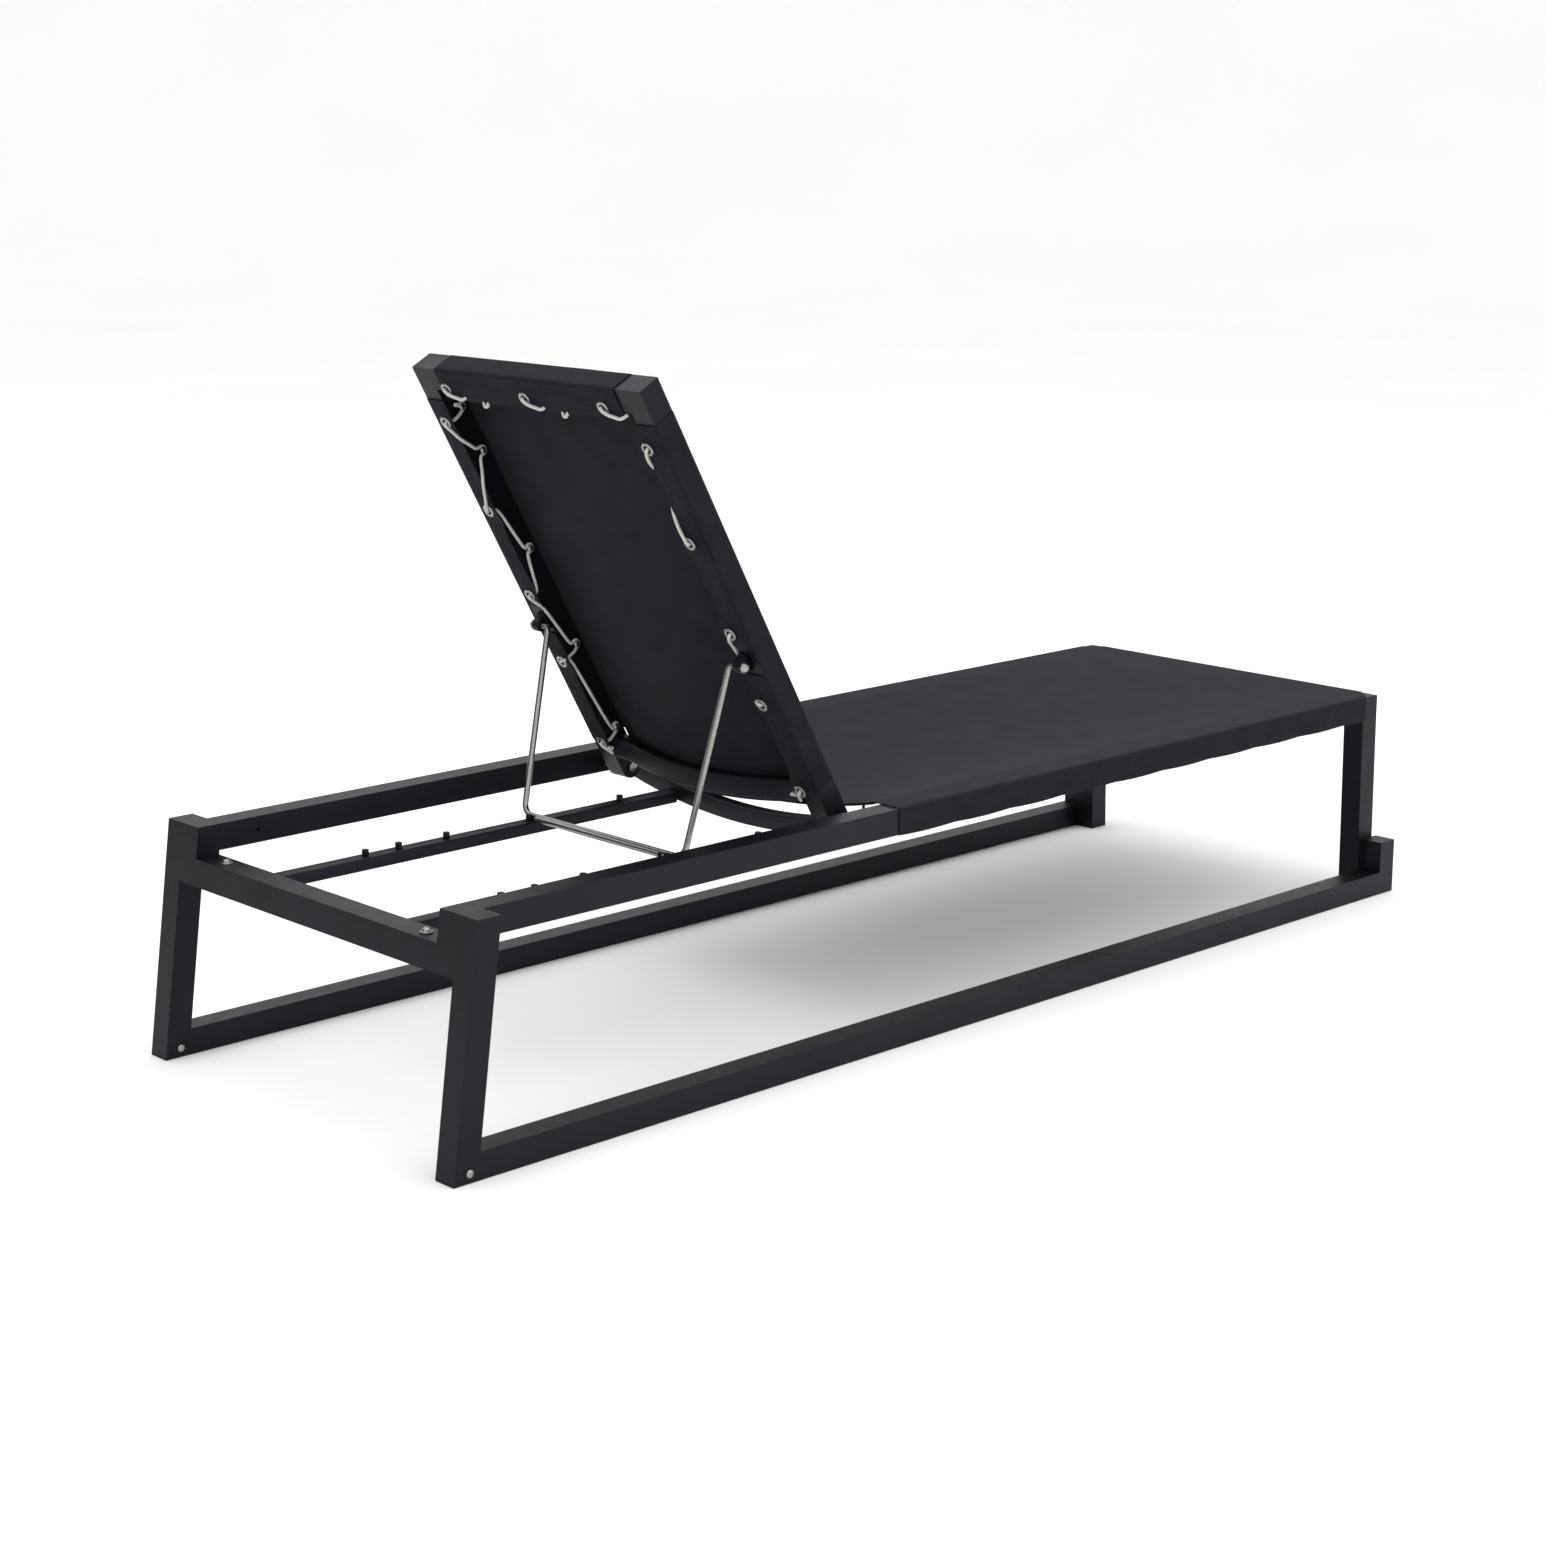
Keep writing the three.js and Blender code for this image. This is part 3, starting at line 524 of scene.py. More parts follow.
def drilledHole(sign):
    x, z, radius = base["hole"]
    angles = [k * math.pi / 12 for k in range(24)]
    ring = [(x + radius * math.cos(angle), z + radius * math.sin(angle)) for angle in angles]
    return prism(ring, *across(sign, base["inner"] - 1, base["inner"] + 12), onBase)


def makeBaseFrame():
    b = base
    prisms = basePrisms(1) + basePrisms(-1)
    low, high = b["crossbar"]
    crossbar = [(headFace(low), low), (headFace(low) + b["tube"], low),
                (headFace(high) + b["tube"], high), (headFace(high), high)]
    prisms.append(prism(crossbar, -b["rail"], b["rail"], onBase))
    x = b["footLeg"][1]
    rail = [(x, b["bottom"]), (x + b["tube"], b["bottom"]), (x + b["tube"], b["top"]), (x, b["top"])]
    prisms.append(prism(rail, -b["inner"], b["inner"], onBase))
    mesh = welded(prisms, [drilledHole(sign) for _, sign in bothSides], b["edge"] * mm)
    kinds = ("rear_leg", "floor_runner", "foot_stub", "foot_leg", "side_rail")
    nodes = [f"{kind}_{side}" for kind in kinds for side, _ in bothSides]
    nodes += ["head_crossbar", "foot_cross_rail"]
    newObject("base_frame", mesh, coatDark, "base", nodes)


# A CAD node with its edges rounded by that many millimetres.
def makeFitting(node, ending, body, isSteel, radius, convex=False):
    mesh = finishMesh(softened(node, radius * mm, convex))
    if isSteel:
        newObject(f"{node}_{ending}", mesh, stainless, body, [node])
    else:
        newObject(f"{node}_{ending}", mesh, coatDark, body, [node])


makeBaseFrame()
for side, _ in bothSides:
    makeFitting(f"peg_bar_{side}", "tube", "base", False, 2.0, convex=True)
print("base frame made")


# Back coordinates: s up the backrest from the hinge, y across, n out of its front.
backrest = {"hinge": onBase(777, 0, 318), "angle": math.radians(61.2), "inner": 210, "outer": 245,
            "half": 18, "length": 730, "edge": 2.2}


def onBack(s, y, n):
    c, k = math.cos(backrest["angle"]), math.sin(backrest["angle"])
    return backrest["hinge"] + Vector((-s * c + n * k, y, s * k + n * c)) * mm


def backDirection(s, y, n):
    return (onBack(s, y, n) - onBack(0, 0, 0)).normalized()


def makeBackFrame():
    b = backrest
    half, end = b["half"], b["length"]
    foot = [(-half * math.sin(k * math.pi / 16), -half * math.cos(k * math.pi / 16)) for k in range(17)]
    upright = foot + [(end, half), (end, -half)]
    width = b["outer"] - b["inner"]
    head = [(end - width, -half), (end, -half), (end, half), (end - width, half)]
    prisms = [prism(upright, *across(sign, b["inner"], b["outer"]), onBack) for _, sign in bothSides]
    prisms.append(prism(head, -b["inner"], b["inner"], onBack))
    nodes = ["backrest_side_left", "backrest_side_right", "backrest_top_tube"]
    mesh = welded(prisms, [], b["edge"] * mm)
    newObject("backrest_frame", mesh, coatDark, "backrest", nodes)


seatBar = {"x": 822.5, "size": 25, "rail": 276, "reach": 275.52, "sag": 38, "top": 324, "edge": 2.4}


def seatBarTop(y):
    return seatBar["top"] - seatBar["sag"] * (1 - (y / seatBar["rail"]) ** 2)


def makeSeatBar():
    b = seatBar
    stops = [b["reach"] * k / 40 for k in range(-40, 41)]
    line = [onBase(b["x"], y, seatBarTop(y) - b["size"] / 2) for y in stops]
    mesh = sweep(line, roundedSquare(b["size"] * mm, b["size"] * mm, b["edge"] * mm), "seatBar")
    newObject("seat_rear_bar_tube", mesh, coatDark, "base", ["seat_rear_bar"])


lowerBar = {"s": 46.5, "width": 30, "depth": 25, "bow": 22, "bend": 172, "reach": 209.7, "edge": 2.4}


def lowerBarRear(y):
    return -backrest["half"] - lowerBar["bow"] * max(0.0, 1 - (y / lowerBar["bend"]) ** 2)


def makeLowerBar():
    b = lowerBar
    line = []
    for i in range(-42, 43):
        y = i / 42 * b["reach"]
        blend = [lowerBarRear(y + d) for d in (-14, -7, 0, 7, 14)]  # the bend is a soft one
        line.append(onBack(b["s"], y, sum(blend) / 5 + b["depth"] / 2))
    mesh = sweep(line, roundedSquare(b["depth"] * mm, b["width"] * mm, b["edge"] * mm), "lowerBar")
    newObject("backrest_lower_bar_tube", mesh, coatDark, "backrest", ["backrest_lower_bar"])


# Name, body, whether it is steel and edge radius in millimetres.
fittings = (("prop_lug", "backrest", False, 1.2), ("hinge_bolt", "base", True, 0.5),
            ("crossbar_bolt", "base", True, 0.6), ("leg_bolt", "base", True, 0.4),
            ("prop_nut", "prop", True, 0.6), ("hinge_spacer", "base", False, 0.6))


def makeFittings(side):
    for i in range(1, 6):
        makeFitting(f"peg_{side}_{i}", "round", "base", False, 1.0, convex=True)
    for name, body, isSteel, radius in fittings:
        makeFitting(f"{name}_{side}", "round", body, isSteel, radius)
    for i in range(1, 6):
        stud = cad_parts[f"lacing_stud_{side}_{i}"].data
        stud.materials.clear()
        stud.materials.append(stainless)


makeBackFrame()
makeSeatBar()
makeLowerBar()
for side, _ in bothSides:
    makeFittings(side)
print("bars and fittings made")


prop = {"pivot": (291.8, -32), "foot": (540 - 1000, 290.7), "halfSpan": 177, "armTop": 198, "end": 226.6,
        "rod": 4.5, "bends": (8, 18, 18, 8), "secondHalf": 137, "gap": 0.3}


def makeProp():
    b = prop
    pivot = onBack(b["pivot"][0], 0, b["pivot"][1]) / mm
    foot = Vector((b["foot"][0], 0, b["foot"][1]))
    sideways = Vector((0, 1, 0))
    stops = ((pivot, b["end"]), (pivot, b["armTop"]), (foot, b["halfSpan"]))
    corners = [spot + sideways * reach for spot, reach in stops]
    corners += [spot - sideways * reach for spot, reach in reversed(stops)]
    line = [p * mm for p in filleted(corners, b["bends"])]
    rod = sweep(line, circle(b["rod"] * mm, 20), "propRod")
    newObject("prop_wire", rod, stainless, "prop", ["prop_rod"])
    second = foot - Vector((2 * b["rod"] + b["gap"], 0, 0))
    ends = [second + sideways * b["secondHalf"] * k / 6 for k in range(-6, 7)]
    mesh = sweep([p * mm for p in ends], circle(b["rod"] * mm, 20), "secondWire")
    newObject("prop_foot_wire", mesh, stainless, "prop", ["prop_stiffener"])


makeProp()
print("prop made")


# A flat distance from the middle becomes (out, drop) round a tube of that half width and depth.
def fold(distance, half, depth, radius):
    turn = radius * math.pi / 2
    flat = half - radius
    if distance <= flat:
        return distance, 0.0
    distance -= flat
    if distance <= turn:
        angle = distance / radius
        return flat + radius * math.sin(angle), -radius * (1 - math.cos(angle))
    distance -= turn
    wall = depth - 2 * radius
    if distance <= wall:
        return half, -radius - distance
    distance -= wall
    if distance <= turn:
        angle = distance / radius
        return flat + radius * math.cos(angle), -depth + radius * (1 - math.sin(angle))
    return flat - (distance - turn), -depth


# The flat distances at which fold() changes from one stretch to the next.
def foldBreaks(half, depth, radius, flap):
    turn = radius * math.pi / 2
    edge = half - radius
    stops = [edge, edge + turn, edge + turn + depth - 2 * radius]
    stops.append(stops[-1] + turn)
    return stops + [stops[-1] + flap]


def stations(breaks, step):
    line = [breaks[0]]
    for low, high in zip(breaks, breaks[1:]):
        parts = max(3, math.ceil((high - low) / step))
        line += [low + (high - low) * k / parts for k in range(1, parts + 1)]
    return line


def clothMesh(name, rows, columns, place, keep):
    verts = [tuple(place(p, q)) for q in rows for p in columns]
    uvs = [(p * mm, q * mm) for q in rows for p in columns]
    width = len(columns)
    faces = []
    area = 0.0
    for i in range(len(rows) - 1):
        for j in range(width - 1):
            if keep((columns[j] + columns[j + 1]) / 2, (rows[i] + rows[i + 1]) / 2):
                a = i * width + j
                faces.append((a, a + 1, a + 1 + width, a + width))
                area += (columns[j + 1] - columns[j]) * (rows[i + 1] - rows[i])
    mesh = bpy.data.meshes.new(name)
    mesh.from_pydata(verts, [], faces)
    layer = mesh.uv_layers.new(name="UVMap")
    for loop in mesh.loops:
        layer.data[loop.index].uv = uvs[loop.vertex_index]
    work = bmesh.new()
    work.from_mesh(mesh)
    bmesh.ops.delete(work, geom=[v for v in work.verts if not v.link_faces], context="VERTS")
    work.to_mesh(mesh)
    work.free()
    return mesh, area * mm * mm


def thickened(mesh, thickness):
    return finishMesh(applied(mesh, "SOLIDIFY", thickness=thickness * mm, offset=0.0), 60)


backSling = {"half": 246, "front": 19, "depth": 38, "radius": 3.4, "flap": 42, "middle": 250, "crest": 731,
             "foot": 30.2, "footWrap": 27, "footRadius": 3.0, "footHalf": 208, "topHalf": 193,
             "side": (63, 677), "sag": 24, "sagHalf": 188, "topFlap": 44, "crease": 3.6, "lift": 4.5,
             "lugCut": (269, 318), "eyelets": (643, 492, 341, 219, 64), "thick": 1.3}


def eyeletGap(s):
    return min(abs(s - e) for e in backSling["eyelets"])


# The flap's edge is drawn in at each eyelet and springs back between them.
def slack(s):
    return smooth(eyeletGap(s), 0, 45)


def backAlong(q):
    b = backSling
    if q >= 0:
        out, drop = fold(q, b["crest"] - b["middle"], b["depth"], b["radius"])
        return b["middle"] + out, drop
    out, drop = fold(-q, b["middle"] - b["foot"], b["footWrap"], b["footRadius"])
    return b["middle"] - out, drop


def backFront(s, y):
    b = backSling
    low = max(0.0, (b["side"][1] - s) / b["side"][1])
    dip = max(0.0, 1 - (y / b["sagHalf"]) ** 2)
    hung = b["front"] - b["sag"] * low * dip
    onBar = lowerBarRear(y) + lowerBar["depth"] + 1.2
    close = (1 - smooth(s, 60, 120)) * (1 - smooth(abs(y), 150, 206))
    return mix(hung, onBar, close)


def backPlace(p, q):
    b = backSling
    s, dropAlong = backAlong(q)
    y, dropAcross = fold(abs(p), b["half"], b["depth"], b["radius"])
    edge = foldBreaks(b["half"], b["depth"], b["radius"], b["flap"])[3]
    if abs(p) > edge:
        reach = (abs(p) - edge) / b["flap"]
        y += reach * 7 * slack(s)
        dropAcross -= b["lift"] * smooth(reach, 0.1, 0.65) * (1 - smooth(eyeletGap(s), 0, 26)) + 0.8 * reach
    side = math.copysign(1, p)
    if dropAcross < 0:
        ripples = 0.4 * ripple(s, y * side, 26, 3)
        return onBack(s, side * y, b["front"] + dropAcross + ripples * (abs(p) > edge))
    wave = 0.7 * ripple(s * 0.4, y * side, 70, 1) * smooth(b["half"] - y, 5, 60)
    crease = 0.0
    if dropAlong < -b["depth"] + 1:
        wander = 5 * ripple(s, y * side, 60, 4)
        ridge = 1 - abs(math.sin((s + wander) * math.pi / b["crease"]))
        patch = smooth(ripple(s * 2, y * side * 0.5, 60, 9), -0.35, 0.25)
        crease = 0.7 * ridge * patch * smooth(s, b["crest"] - 34, b["crest"] - 20)
        s -= 2.2 * math.sin(y / 62) ** 2
    return onBack(s, side * y, backFront(s, y) + dropAlong + wave - crease)


def backKeep(p, q):
    b = backSling
    s, drop = backAlong(q)
    y, fell = fold(abs(p), b["half"], b["depth"], b["radius"])
    if s > b["side"][1] or drop < 0 and q > 0:
        return abs(p) < b["topHalf"]
    if s < b["side"][0] or drop < 0:
        return abs(p) < b["footHalf"]
    inFlap = fell < -b["depth"] + 0.5
    return not (inFlap and b["lugCut"][0] < s < b["lugCut"][1])


def makeBackSling():
    b = backSling
    wraps = foldBreaks(b["half"], b["depth"], b["radius"], b["flap"])
    half = stations([0, 150, b["topHalf"], b["footHalf"]] + wraps, 6)
    columns = [-p for p in reversed(half[1:])] + half
    up = foldBreaks(b["crest"] - b["middle"], b["depth"], b["radius"], b["topFlap"])
    down = foldBreaks(b["middle"] - b["foot"], b["footWrap"], b["footRadius"], 4)
    marks = [b["lugCut"][0] - b["middle"], b["lugCut"][1] - b["middle"], b["side"][1] - b["middle"]]
    lower = sorted(-d for d in down)
    rows = stations(lower + [b["side"][0] - b["middle"], 0] + sorted(marks) + up[:4], 6)
    rows += stations(up[3:], 0.9)[1:]
    mesh, area = clothMesh("backSling", rows, columns, backPlace, backKeep)
    piece = newObject("backrest_cloth", thickened(mesh, b["thick"]), slingCloth, "backrest",
                      ["backrest_sling"])


seatSling = {"half": 315, "top": 338.1, "depth": 40, "radius": 3.4, "flap": 46, "middle": 1000, "end": 1985.6,
             "rear": 825, "endFlap": 38, "footStart": 1946.5, "sag": 32, "sagHalf": 262, "sagStart": 810,
             "thick": 1.3, "corner": 2266, "hem": 24, "hemRadius": 1.7, "laced": 118, "flapStart": 840,
             "flapGap": 9, "wallEnd": 1956, "rearHalf": 262, "endFlapHalf": 272, "endHalf": 282}


def seatDip(x, y):
    b = seatSling
    rear = max(0.0, (b["footStart"] - max(x, b["sagStart"])) / (b["footStart"] - b["sagStart"]))
    return b["sag"] * rear * max(0.0, 1 - (y / b["sagHalf"]) ** 2)


def seatAlong(q):
    b = seatSling
    if q >= 0:
        out, drop = fold(q, b["end"] - b["middle"], b["depth"], b["radius"])
        return b["middle"] + out, drop
    out, drop = fold(-q, b["middle"] - b["rear"], 2 * b["hemRadius"], b["hemRadius"])
    return b["middle"] - out, drop


def seatPlace(p, q):
    b = seatSling
    x, dropAlong = seatAlong(q)
    y, drop = fold(abs(p), b["half"], b["depth"], b["radius"])
    side = math.copysign(1, p)
    if drop < 0:
        scallop = abs(math.sin(math.pi * (x - b["rear"]) / b["laced"]))
        bulge = 1.6 * scallop * smooth(-drop, 22, 40)
        return onBase(x, side * (y + 0.3 * scallop), b["top"] + drop - bulge)
    wave = 0.5 * ripple(x * 0.5, y * side, 90, 2) * smooth(b["half"] - y, 5, 60)
    return onBase(x, side * y, b["top"] + dropAlong + wave - seatDip(x, y))


def seatKeep(p, q):
    b = seatSling
    x, dropAlong = seatAlong(q)
    y, drop = fold(abs(p), b["half"], b["depth"], b["radius"])
    if dropAlong < -b["depth"] + 0.5 and q > 0:
        return abs(p) < b["endFlapHalf"]
    if dropAlong < 0:
        return abs(p) < (b["endHalf"] if q > 0 else b["rearHalf"])
    if drop < -b["depth"] + 0.5:
        return b["flapStart"] < x < b["footStart"] - b["flapGap"]
    return drop == 0 or x < b["wallEnd"]


def clipCorners(mesh):
    work = bmesh.new()
    work.from_mesh(mesh)
    for _, sign in bothSides:
        geometry = work.verts[:] + work.edges[:] + work.faces[:]
        bmesh.ops.bisect_plane(work, geom=geometry, plane_co=onBase(seatSling["corner"], 0, 0),
                               plane_no=Vector((1, sign, 0)), clear_outer=True)
    work.to_mesh(mesh)
    work.free()


def makeSeatSling():
    b = seatSling
    wraps = foldBreaks(b["half"], b["depth"], b["radius"], b["flap"])
    half = stations([0, b["rearHalf"], b["endFlapHalf"], b["endHalf"]] + wraps, 9)
    columns = [-p for p in reversed(half[1:])] + half
    up = foldBreaks(b["end"] - b["middle"], b["depth"], b["radius"], b["endFlap"])
    down = foldBreaks(b["middle"] - b["rear"], 2 * b["hemRadius"], b["hemRadius"], b["hem"])
    marks = [v - b["middle"] for v in (b["flapStart"], b["footStart"] - b["flapGap"], b["wallEnd"])]
    rows = stations(sorted(-d for d in down) + [marks[0], 0] + marks[1:] + up, 9)
    mesh, area = clothMesh("seatSling", rows, columns, seatPlace, seatKeep)
    clipCorners(mesh)
    piece = newObject("seat_cloth", thickened(mesh, b["thick"]), slingCloth, "base",
                      ["seat_sling"])


makeBackSling()
makeSeatSling()
print("slings made")


lace = {"cord": 2.5, "studs": (654, 580, 409, 234, 77), "studN": 3, "studY": 206.7, "loop": 5.8, "aside": 8.2,
        "edge": 204, "eyeletY": 218, "reach": (30, 44, 24, 6, 22), "outside": -27, "behind": -20.9,
        "topEyelets": (183, 9, -156), "topLoops": (105, -67), "topEdge": 687, "topRun": 690.8}


# Alternate eyelets are threaded outwards and inwards. Outwards, the cord comes from behind the flap,
# up through the eyelet and down over the flap's edge; inwards, it is the other way round.
def lacePoints(sign):
    b = lace
    points = []

    def put(s, y, n):
        points.append(onBack(s, sign * y, n))

    for i, stud in enumerate(b["studs"]):
        hole = backSling["eyelets"][i]
        outwards = i % 2 == 0
        below = stud - b["aside"]
        turn = -1 if outwards else 1
        crossing = hole + turn * b["reach"][i]
        nextStud = b["studs"][i + 1] + b["aside"] if i + 1 < len(b["studs"]) else crossing - 12
        leave = (crossing + (nextStud if outwards else below)) / 2
        shown = [(leave, b["studY"] - 1.5, -13), (crossing, b["edge"] + 2.5, -20),
                 (hole + turn * b["reach"][i] * 0.55, b["edge"] + 6, -24.5),
                 (hole + turn * 3, b["eyeletY"] - 1.5, b["outside"])]
        tuck = min(8, (below - hole) / 2) if outwards else 8
        hidden = [(hole, b["eyeletY"], -24), (hole - turn * 1.5, b["eyeletY"] - 4, b["behind"]),
                  (hole - turn * tuck, b["edge"] + 2, -16.5)]
        if i:
            put(stud + b["aside"], b["studY"], -5)
        for k in range(5):
            angle = math.pi * k / 4
            put(stud + b["loop"] * math.cos(angle), b["studY"], b["studN"] + b["loop"] * math.sin(angle))
        put(below, b["studY"] - 1, -5)
        for spot in (hidden[::-1] + shown[::-1] if outwards else shown + hidden):
            put(*spot)
    return points


# Behind the top flap the cord runs between the eyelets and dips into view at its loops.
def topLacePoints():
    b = lace
    points = []

    def put(s, y, n):
        points.append(onBack(s, y, n))

    for i, y in enumerate(b["topEyelets"]):
        if i:
            put(b["topRun"], y + 16, -14.5)
        put(b["topEdge"] + 12, y + 4, -20)
        put(b["topEdge"] + 11, y - 1, b["outside"] + 3)
        put(b["topEdge"] + 6, y - 10, b["outside"] + 2)
        put(b["topEdge"] + 2, y - 22, b["outside"] + 3)
        put(b["topEdge"] - 1, y - 31, -22)
        put(b["topEdge"] + 2, y - 40, -15.5)
        if i < len(b["topLoops"]):
            loop = b["topLoops"][i]
            for aside, down, n in ((14, 0, -15), (6, 6, -17), (3, 12, -21)):
                put(b["topRun"] - down, loop + aside, n)
            for aside, down, n in ((3, 12, -21), (6, 6, -17), (14, 0, -15)):
                put(b["topRun"] - down, loop - aside, n)
    return points


knot = {"size": 1.6, "strand": 1.6, "step": 1.2}


# An overhand knot, drawn as a closed trefoil.
def knotMesh(centre):
    points = []
    for k in range(25):
        t = 2 * math.pi * k / 24
        loop = Vector((math.sin(t) + 2 * math.sin(2 * t), math.cos(t) - 2 * math.cos(2 * t),
                       -math.sin(3 * t)))
        points.append(centre + loop * knot["size"] * mm)
    line = smoothLine(points, knot["step"] * mm)[:-1]
    return sweep(line, circle(knot["strand"] * mm, 10), "knot", closed=True)


def cordMesh(name, points):
    line = smoothLine(points, 2 * mm)
    length = sum((b - a).length for a, b in zip(line, line[1:]))
    print(name, "cord length", round(length, 3))
    return sweep(line, circle(lace["cord"] * mm, 12), name)


def makeKnots(side, sign):
    start = onBack(lace["studs"][0] + 6, sign * 204, -2)
    end = onBack(backSling["eyelets"][-1] - 8, sign * (lace["edge"] - 2), -24)
    for place, centre in (("top", start), ("foot", end)):
        newObject(f"lace_knot_{place}_{side}", knotMesh(centre), laceWhite, "backrest")


tie = {"x": 830, "y": 240, "radius": 2.2}


def makeTie(side, sign):
    b = tie
    low = seatBarTop(b["y"])
    high = seatSling["top"] - seatDip(b["x"], b["y"])
    line = [onBase(b["x"], sign * b["y"], mix(low, high, k / 8)) for k in range(9)]
    mesh = sweep(line, circle(b["radius"] * mm, 10), "tie")
    newObject(f"tie_{side}", mesh, tieDark, "base", [f"seat_tie_{side}"])


def makeLaces():
    for side, sign in bothSides:
        mesh = cordMesh(f"lace_{side}", lacePoints(sign))
        newObject(f"lace_{side}", mesh, laceWhite, "backrest", [f"backrest_lace_{side}"])
        makeKnots(side, sign)
        makeTie(side, sign)
    mesh = cordMesh("lace_top", topLacePoints())
    newObject("lace_top", mesh, laceWhite, "backrest", ["backrest_lace_top"])


eyelet = {"inner": 5.6, "outer": 10.4, "height": 1.3}


def makeEyelets():
    b = eyelet
    middle = (b["inner"] + b["outer"]) / 2
    rim = (b["outer"] - b["inner"]) / 2
    profile = [(middle + rim * math.cos(a), b["height"] * max(-0.4, math.sin(a)))
               for a in (2 * math.pi * k / 12 for k in range(12))]
    ring = lathe([(r * mm, z * mm) for r, z in profile], 28)
    out = backDirection(0, 0, -1)
    along = backDirection(1, 0, 0)
    rear = backSling["front"] - backSling["depth"] - backSling["thick"] / 2 - 0.2
    raised = rear - backSling["lift"] - 0.4
    places = [(onBack(s, sign * lace["eyeletY"], raised), out, along)
              for _, sign in bothSides for s in backSling["eyelets"]]
    places += [(onBack(lace["topEdge"] + 12, y, rear - 0.8), out, along) for y in lace["topEyelets"]]
    scatter("eyelets", ring, places, stainless, "backrest")


stitch = {"length": 3.2, "radius": 0.35, "pitch": 5.0, "rows": (9.0, 26.0), "hemRow": 2.0}


def stitchMesh():
    b = stitch
    line = [Vector((b["length"] * (k / 6 - 0.5), 0, 0.5 * math.sin(math.pi * k / 6))) * mm for k in range(7)]
    return sweep(line, circle(b["radius"] * mm, 6), "stitch")


# Two rows run down each side flap and two across the top flap.
def makeBackStitches():
    b = stitch
    places = []
    edge = foldBreaks(backSling["half"], backSling["depth"], backSling["radius"], backSling["flap"])
    out = backDirection(0, 0, -1)
    skin = out * (backSling["thick"] / 2 + 0.1) * mm
    low, high = (v - backSling["middle"] for v in backSling["side"])
    for _, sign in bothSides:
        for p in (edge[4] - row for row in b["rows"]):
            for k in range(1, int((high - low) / b["pitch"])):
                q = low + k * b["pitch"]
                if backKeep(p, q):
                    ahead = backPlace(sign * p, q + 2) - backPlace(sign * p, q)
                    places.append((backPlace(sign * p, q) + skin, out, ahead.normalized()))
    up = foldBreaks(backSling["crest"] - backSling["middle"], backSling["depth"], backSling["radius"],
                    backSling["topFlap"])
    for q in (up[4] - row for row in b["rows"]):
        for k in range(-37, 38):
            p = k * b["pitch"]
            ahead = backPlace(p + 2, q) - backPlace(p, q)
            places.append((backPlace(p, q) + skin, out, ahead.normalized()))
    scatter("back_stitches", stitchMesh(), places, threadDark, "backrest", 0.08)


def makeSeatStitches():
    b = stitch
    above = Vector((0, 0, 1))
    rows = []
    for k in range(-50, 51):
        p = k * b["pitch"]
        q = seatSling["rear"] + seatSling["hem"] - b["hemRow"] - seatSling["middle"]
        ahead = seatPlace(p + 2, q) - seatPlace(p, q)
        rows.append((seatPlace(p, q) + above * 0.7 * mm, above, ahead.normalized()))
    scatter("seat_stitches", stitchMesh(), rows, threadDark, "base", 0.08)


makeLaces()
makeEyelets()
makeBackStitches()
makeSeatStitches()
print("lacing, eyelets and stitches made")


# Smooth matt studio paper in a wide dish, with a curved rim in place of a horizon. Sizes in metres.
paper = {"stops": ((0.3, "#f7f7f6"), (0.7, "#f9f9f8")), "flat": 14.0, "rise": 7.0, "sides": 96,
         "below": 0.0006}


def makeFloor():
    material, tree, shader = newMaterial("floor", 0.85)
    place = addNode(tree, "ShaderNodeTexCoord").outputs["Object"]
    cloud = addNode(tree, "ShaderNodeTexNoise", {"Vector": place, "Scale": 0.7, "Detail": 3.0})
    tintSurface(tree, shader, cloud.outputs["Fac"], paper["stops"])
    flat, rise, sides = paper["flat"], paper["rise"], paper["sides"]
    profile = [(0.0, 0.0), (2.0, 0.0), (6.0, 0.0), (flat, 0.0)]
    for k in range(1, 13):
        angle = math.pi / 2 * k / 12
        profile.append((flat + rise * math.sin(angle), rise * (1 - math.cos(angle))))
    angles = [2 * math.pi * k / sides for k in range(sides)]
    verts = [(r * math.cos(a), r * math.sin(a), z - paper["below"]) for a in angles for r, z in profile]
    count = len(profile)
    faces = [(k * count + i, (k + 1) % sides * count + i, (k + 1) % sides * count + i + 1, k * count + i + 1)
             for k in range(sides) for i in range(count - 1)]
    mesh = bpy.data.meshes.new("floor")
    mesh.from_pydata(verts, [], faces)
    mesh.flip_normals()
    finishMesh(mesh)
    floor = bpy.data.objects.new("floor", mesh)
    mesh.materials.append(material)
    bpy.context.scene.collection.objects.link(floor)


# Name, place and size in metres, and power in watts of each soft box.
lamps = (("overhead", (0.3, 0.2, 4.0), (5.0, 4.0), 90), ("headSide", (-4.0, -1.5, 2.2), (2.5, 2.5), 8),
         ("nearSide", (0.5, -4.5, 2.0), (4.0, 2.0), 42))
background = {"colour": "#ffffff", "strength": 1.06}


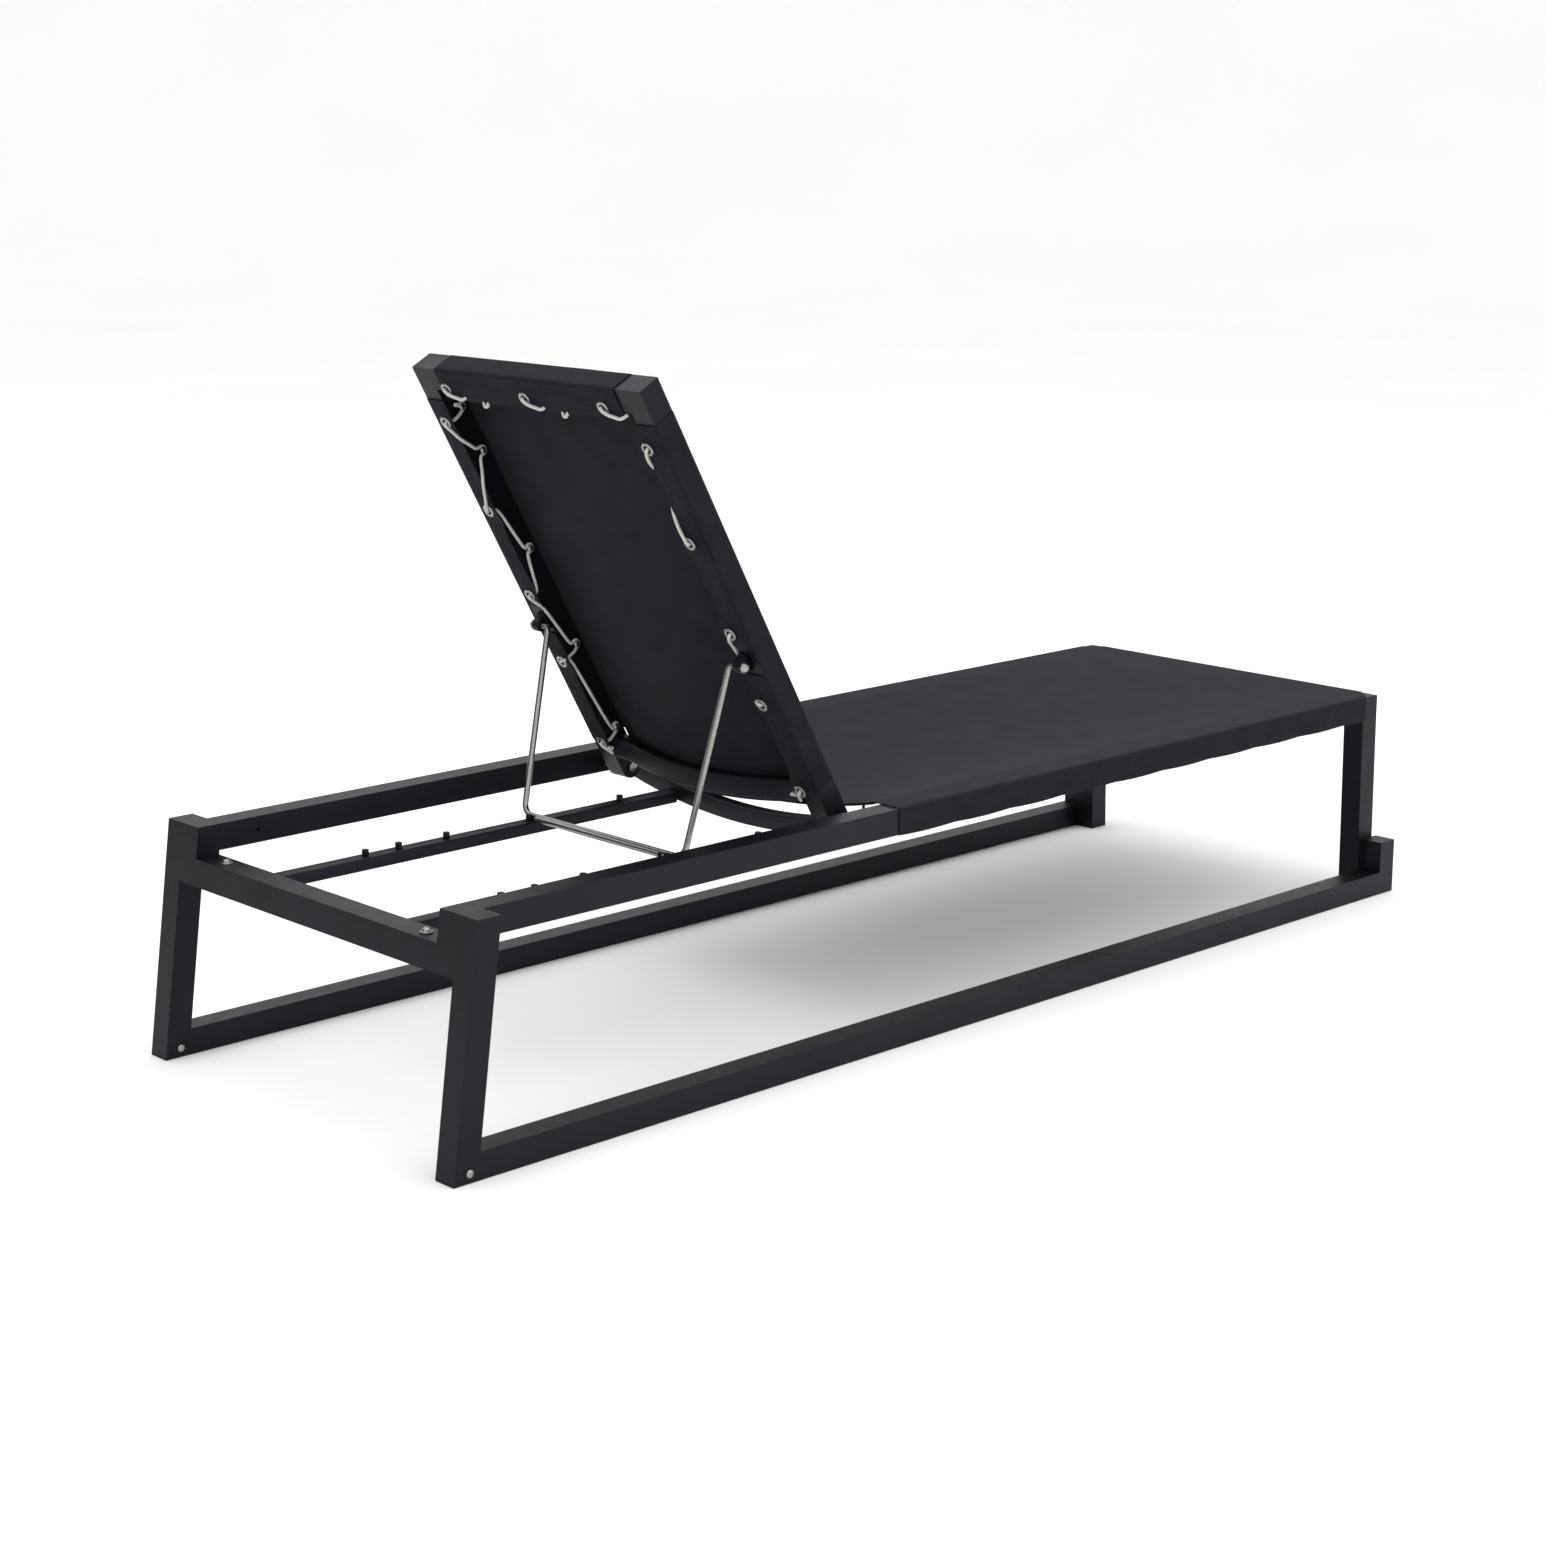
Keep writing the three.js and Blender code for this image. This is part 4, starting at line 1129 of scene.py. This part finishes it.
def areaLight(name, place, size, power, aim=(0, 0, 0.3)):
    data = bpy.data.lights.new(name, "AREA")
    data.shape = "RECTANGLE"
    data.size, data.size_y = size
    data.energy = power
    lamp = bpy.data.objects.new(name, data)
    lamp.location = place
    lamp.rotation_mode = "QUATERNION"
    lamp.rotation_quaternion = (Vector(place) - Vector(aim)).to_track_quat("Z", "Y")
    bpy.context.scene.collection.objects.link(lamp)


def makeLight():
    world = bpy.data.worlds.new("studio")
    world.use_nodes = True
    shader = world.node_tree.nodes["Background"]
    shader.inputs["Color"].default_value = rgb(background["colour"])
    shader.inputs["Strength"].default_value = background["strength"]
    bpy.context.scene.world = world
    for name, place, size, power in lamps:
        areaLight(name, place, size, power)


card = {"half": 2.6, "height": 3.2, "place": (-3.5, 2.5, 0.02), "turn": 45}


# A black card beside the head end, seen only in reflections, keeps the frame's head faces dark.
def makeCard():
    material, tree, shader = newMaterial("blackCard", 1.0)
    shader.inputs["Base Color"].default_value = rgb("#000000")
    half, height = card["half"], card["height"]
    mesh = bpy.data.meshes.new("card")
    corners = [(-half, 0, 0), (half, 0, 0), (half, 0, height), (-half, 0, height)]
    mesh.from_pydata(corners, [], [(0, 1, 2, 3)])
    mesh.materials.append(material)
    board = bpy.data.objects.new("card", mesh)
    board.location = card["place"]
    board.rotation_euler = (0, 0, math.radians(card["turn"]))
    board.visible_camera = board.visible_diffuse = board.visible_shadow = False
    bpy.context.scene.collection.objects.link(board)


view = {"place": (-2995.4, -3041.7, 1315.9), "turn": 46.643, "tilt": 13.283, "lens": 66.45}


def makeCamera():
    data = bpy.data.cameras.new("camera")
    data.sensor_width = 36.0
    data.lens = view["lens"]
    data.clip_start, data.clip_end = 0.05, 100.0
    camera = bpy.data.objects.new("camera", data)
    camera.location = Vector(view["place"]) * mm
    turn, tilt = math.radians(view["turn"]), math.radians(view["tilt"])
    ahead = Vector((math.cos(turn) * math.cos(tilt), math.sin(turn) * math.cos(tilt), -math.sin(tilt)))
    camera.rotation_mode = "QUATERNION"
    camera.rotation_quaternion = ahead.to_track_quat("-Z", "Y")
    bpy.context.scene.collection.objects.link(camera)
    bpy.context.scene.camera = camera


makeFloor()
makeLight()
makeCard()
makeCamera()
bpy.context.scene.view_settings.view_transform = "Standard"

print("scene ready")
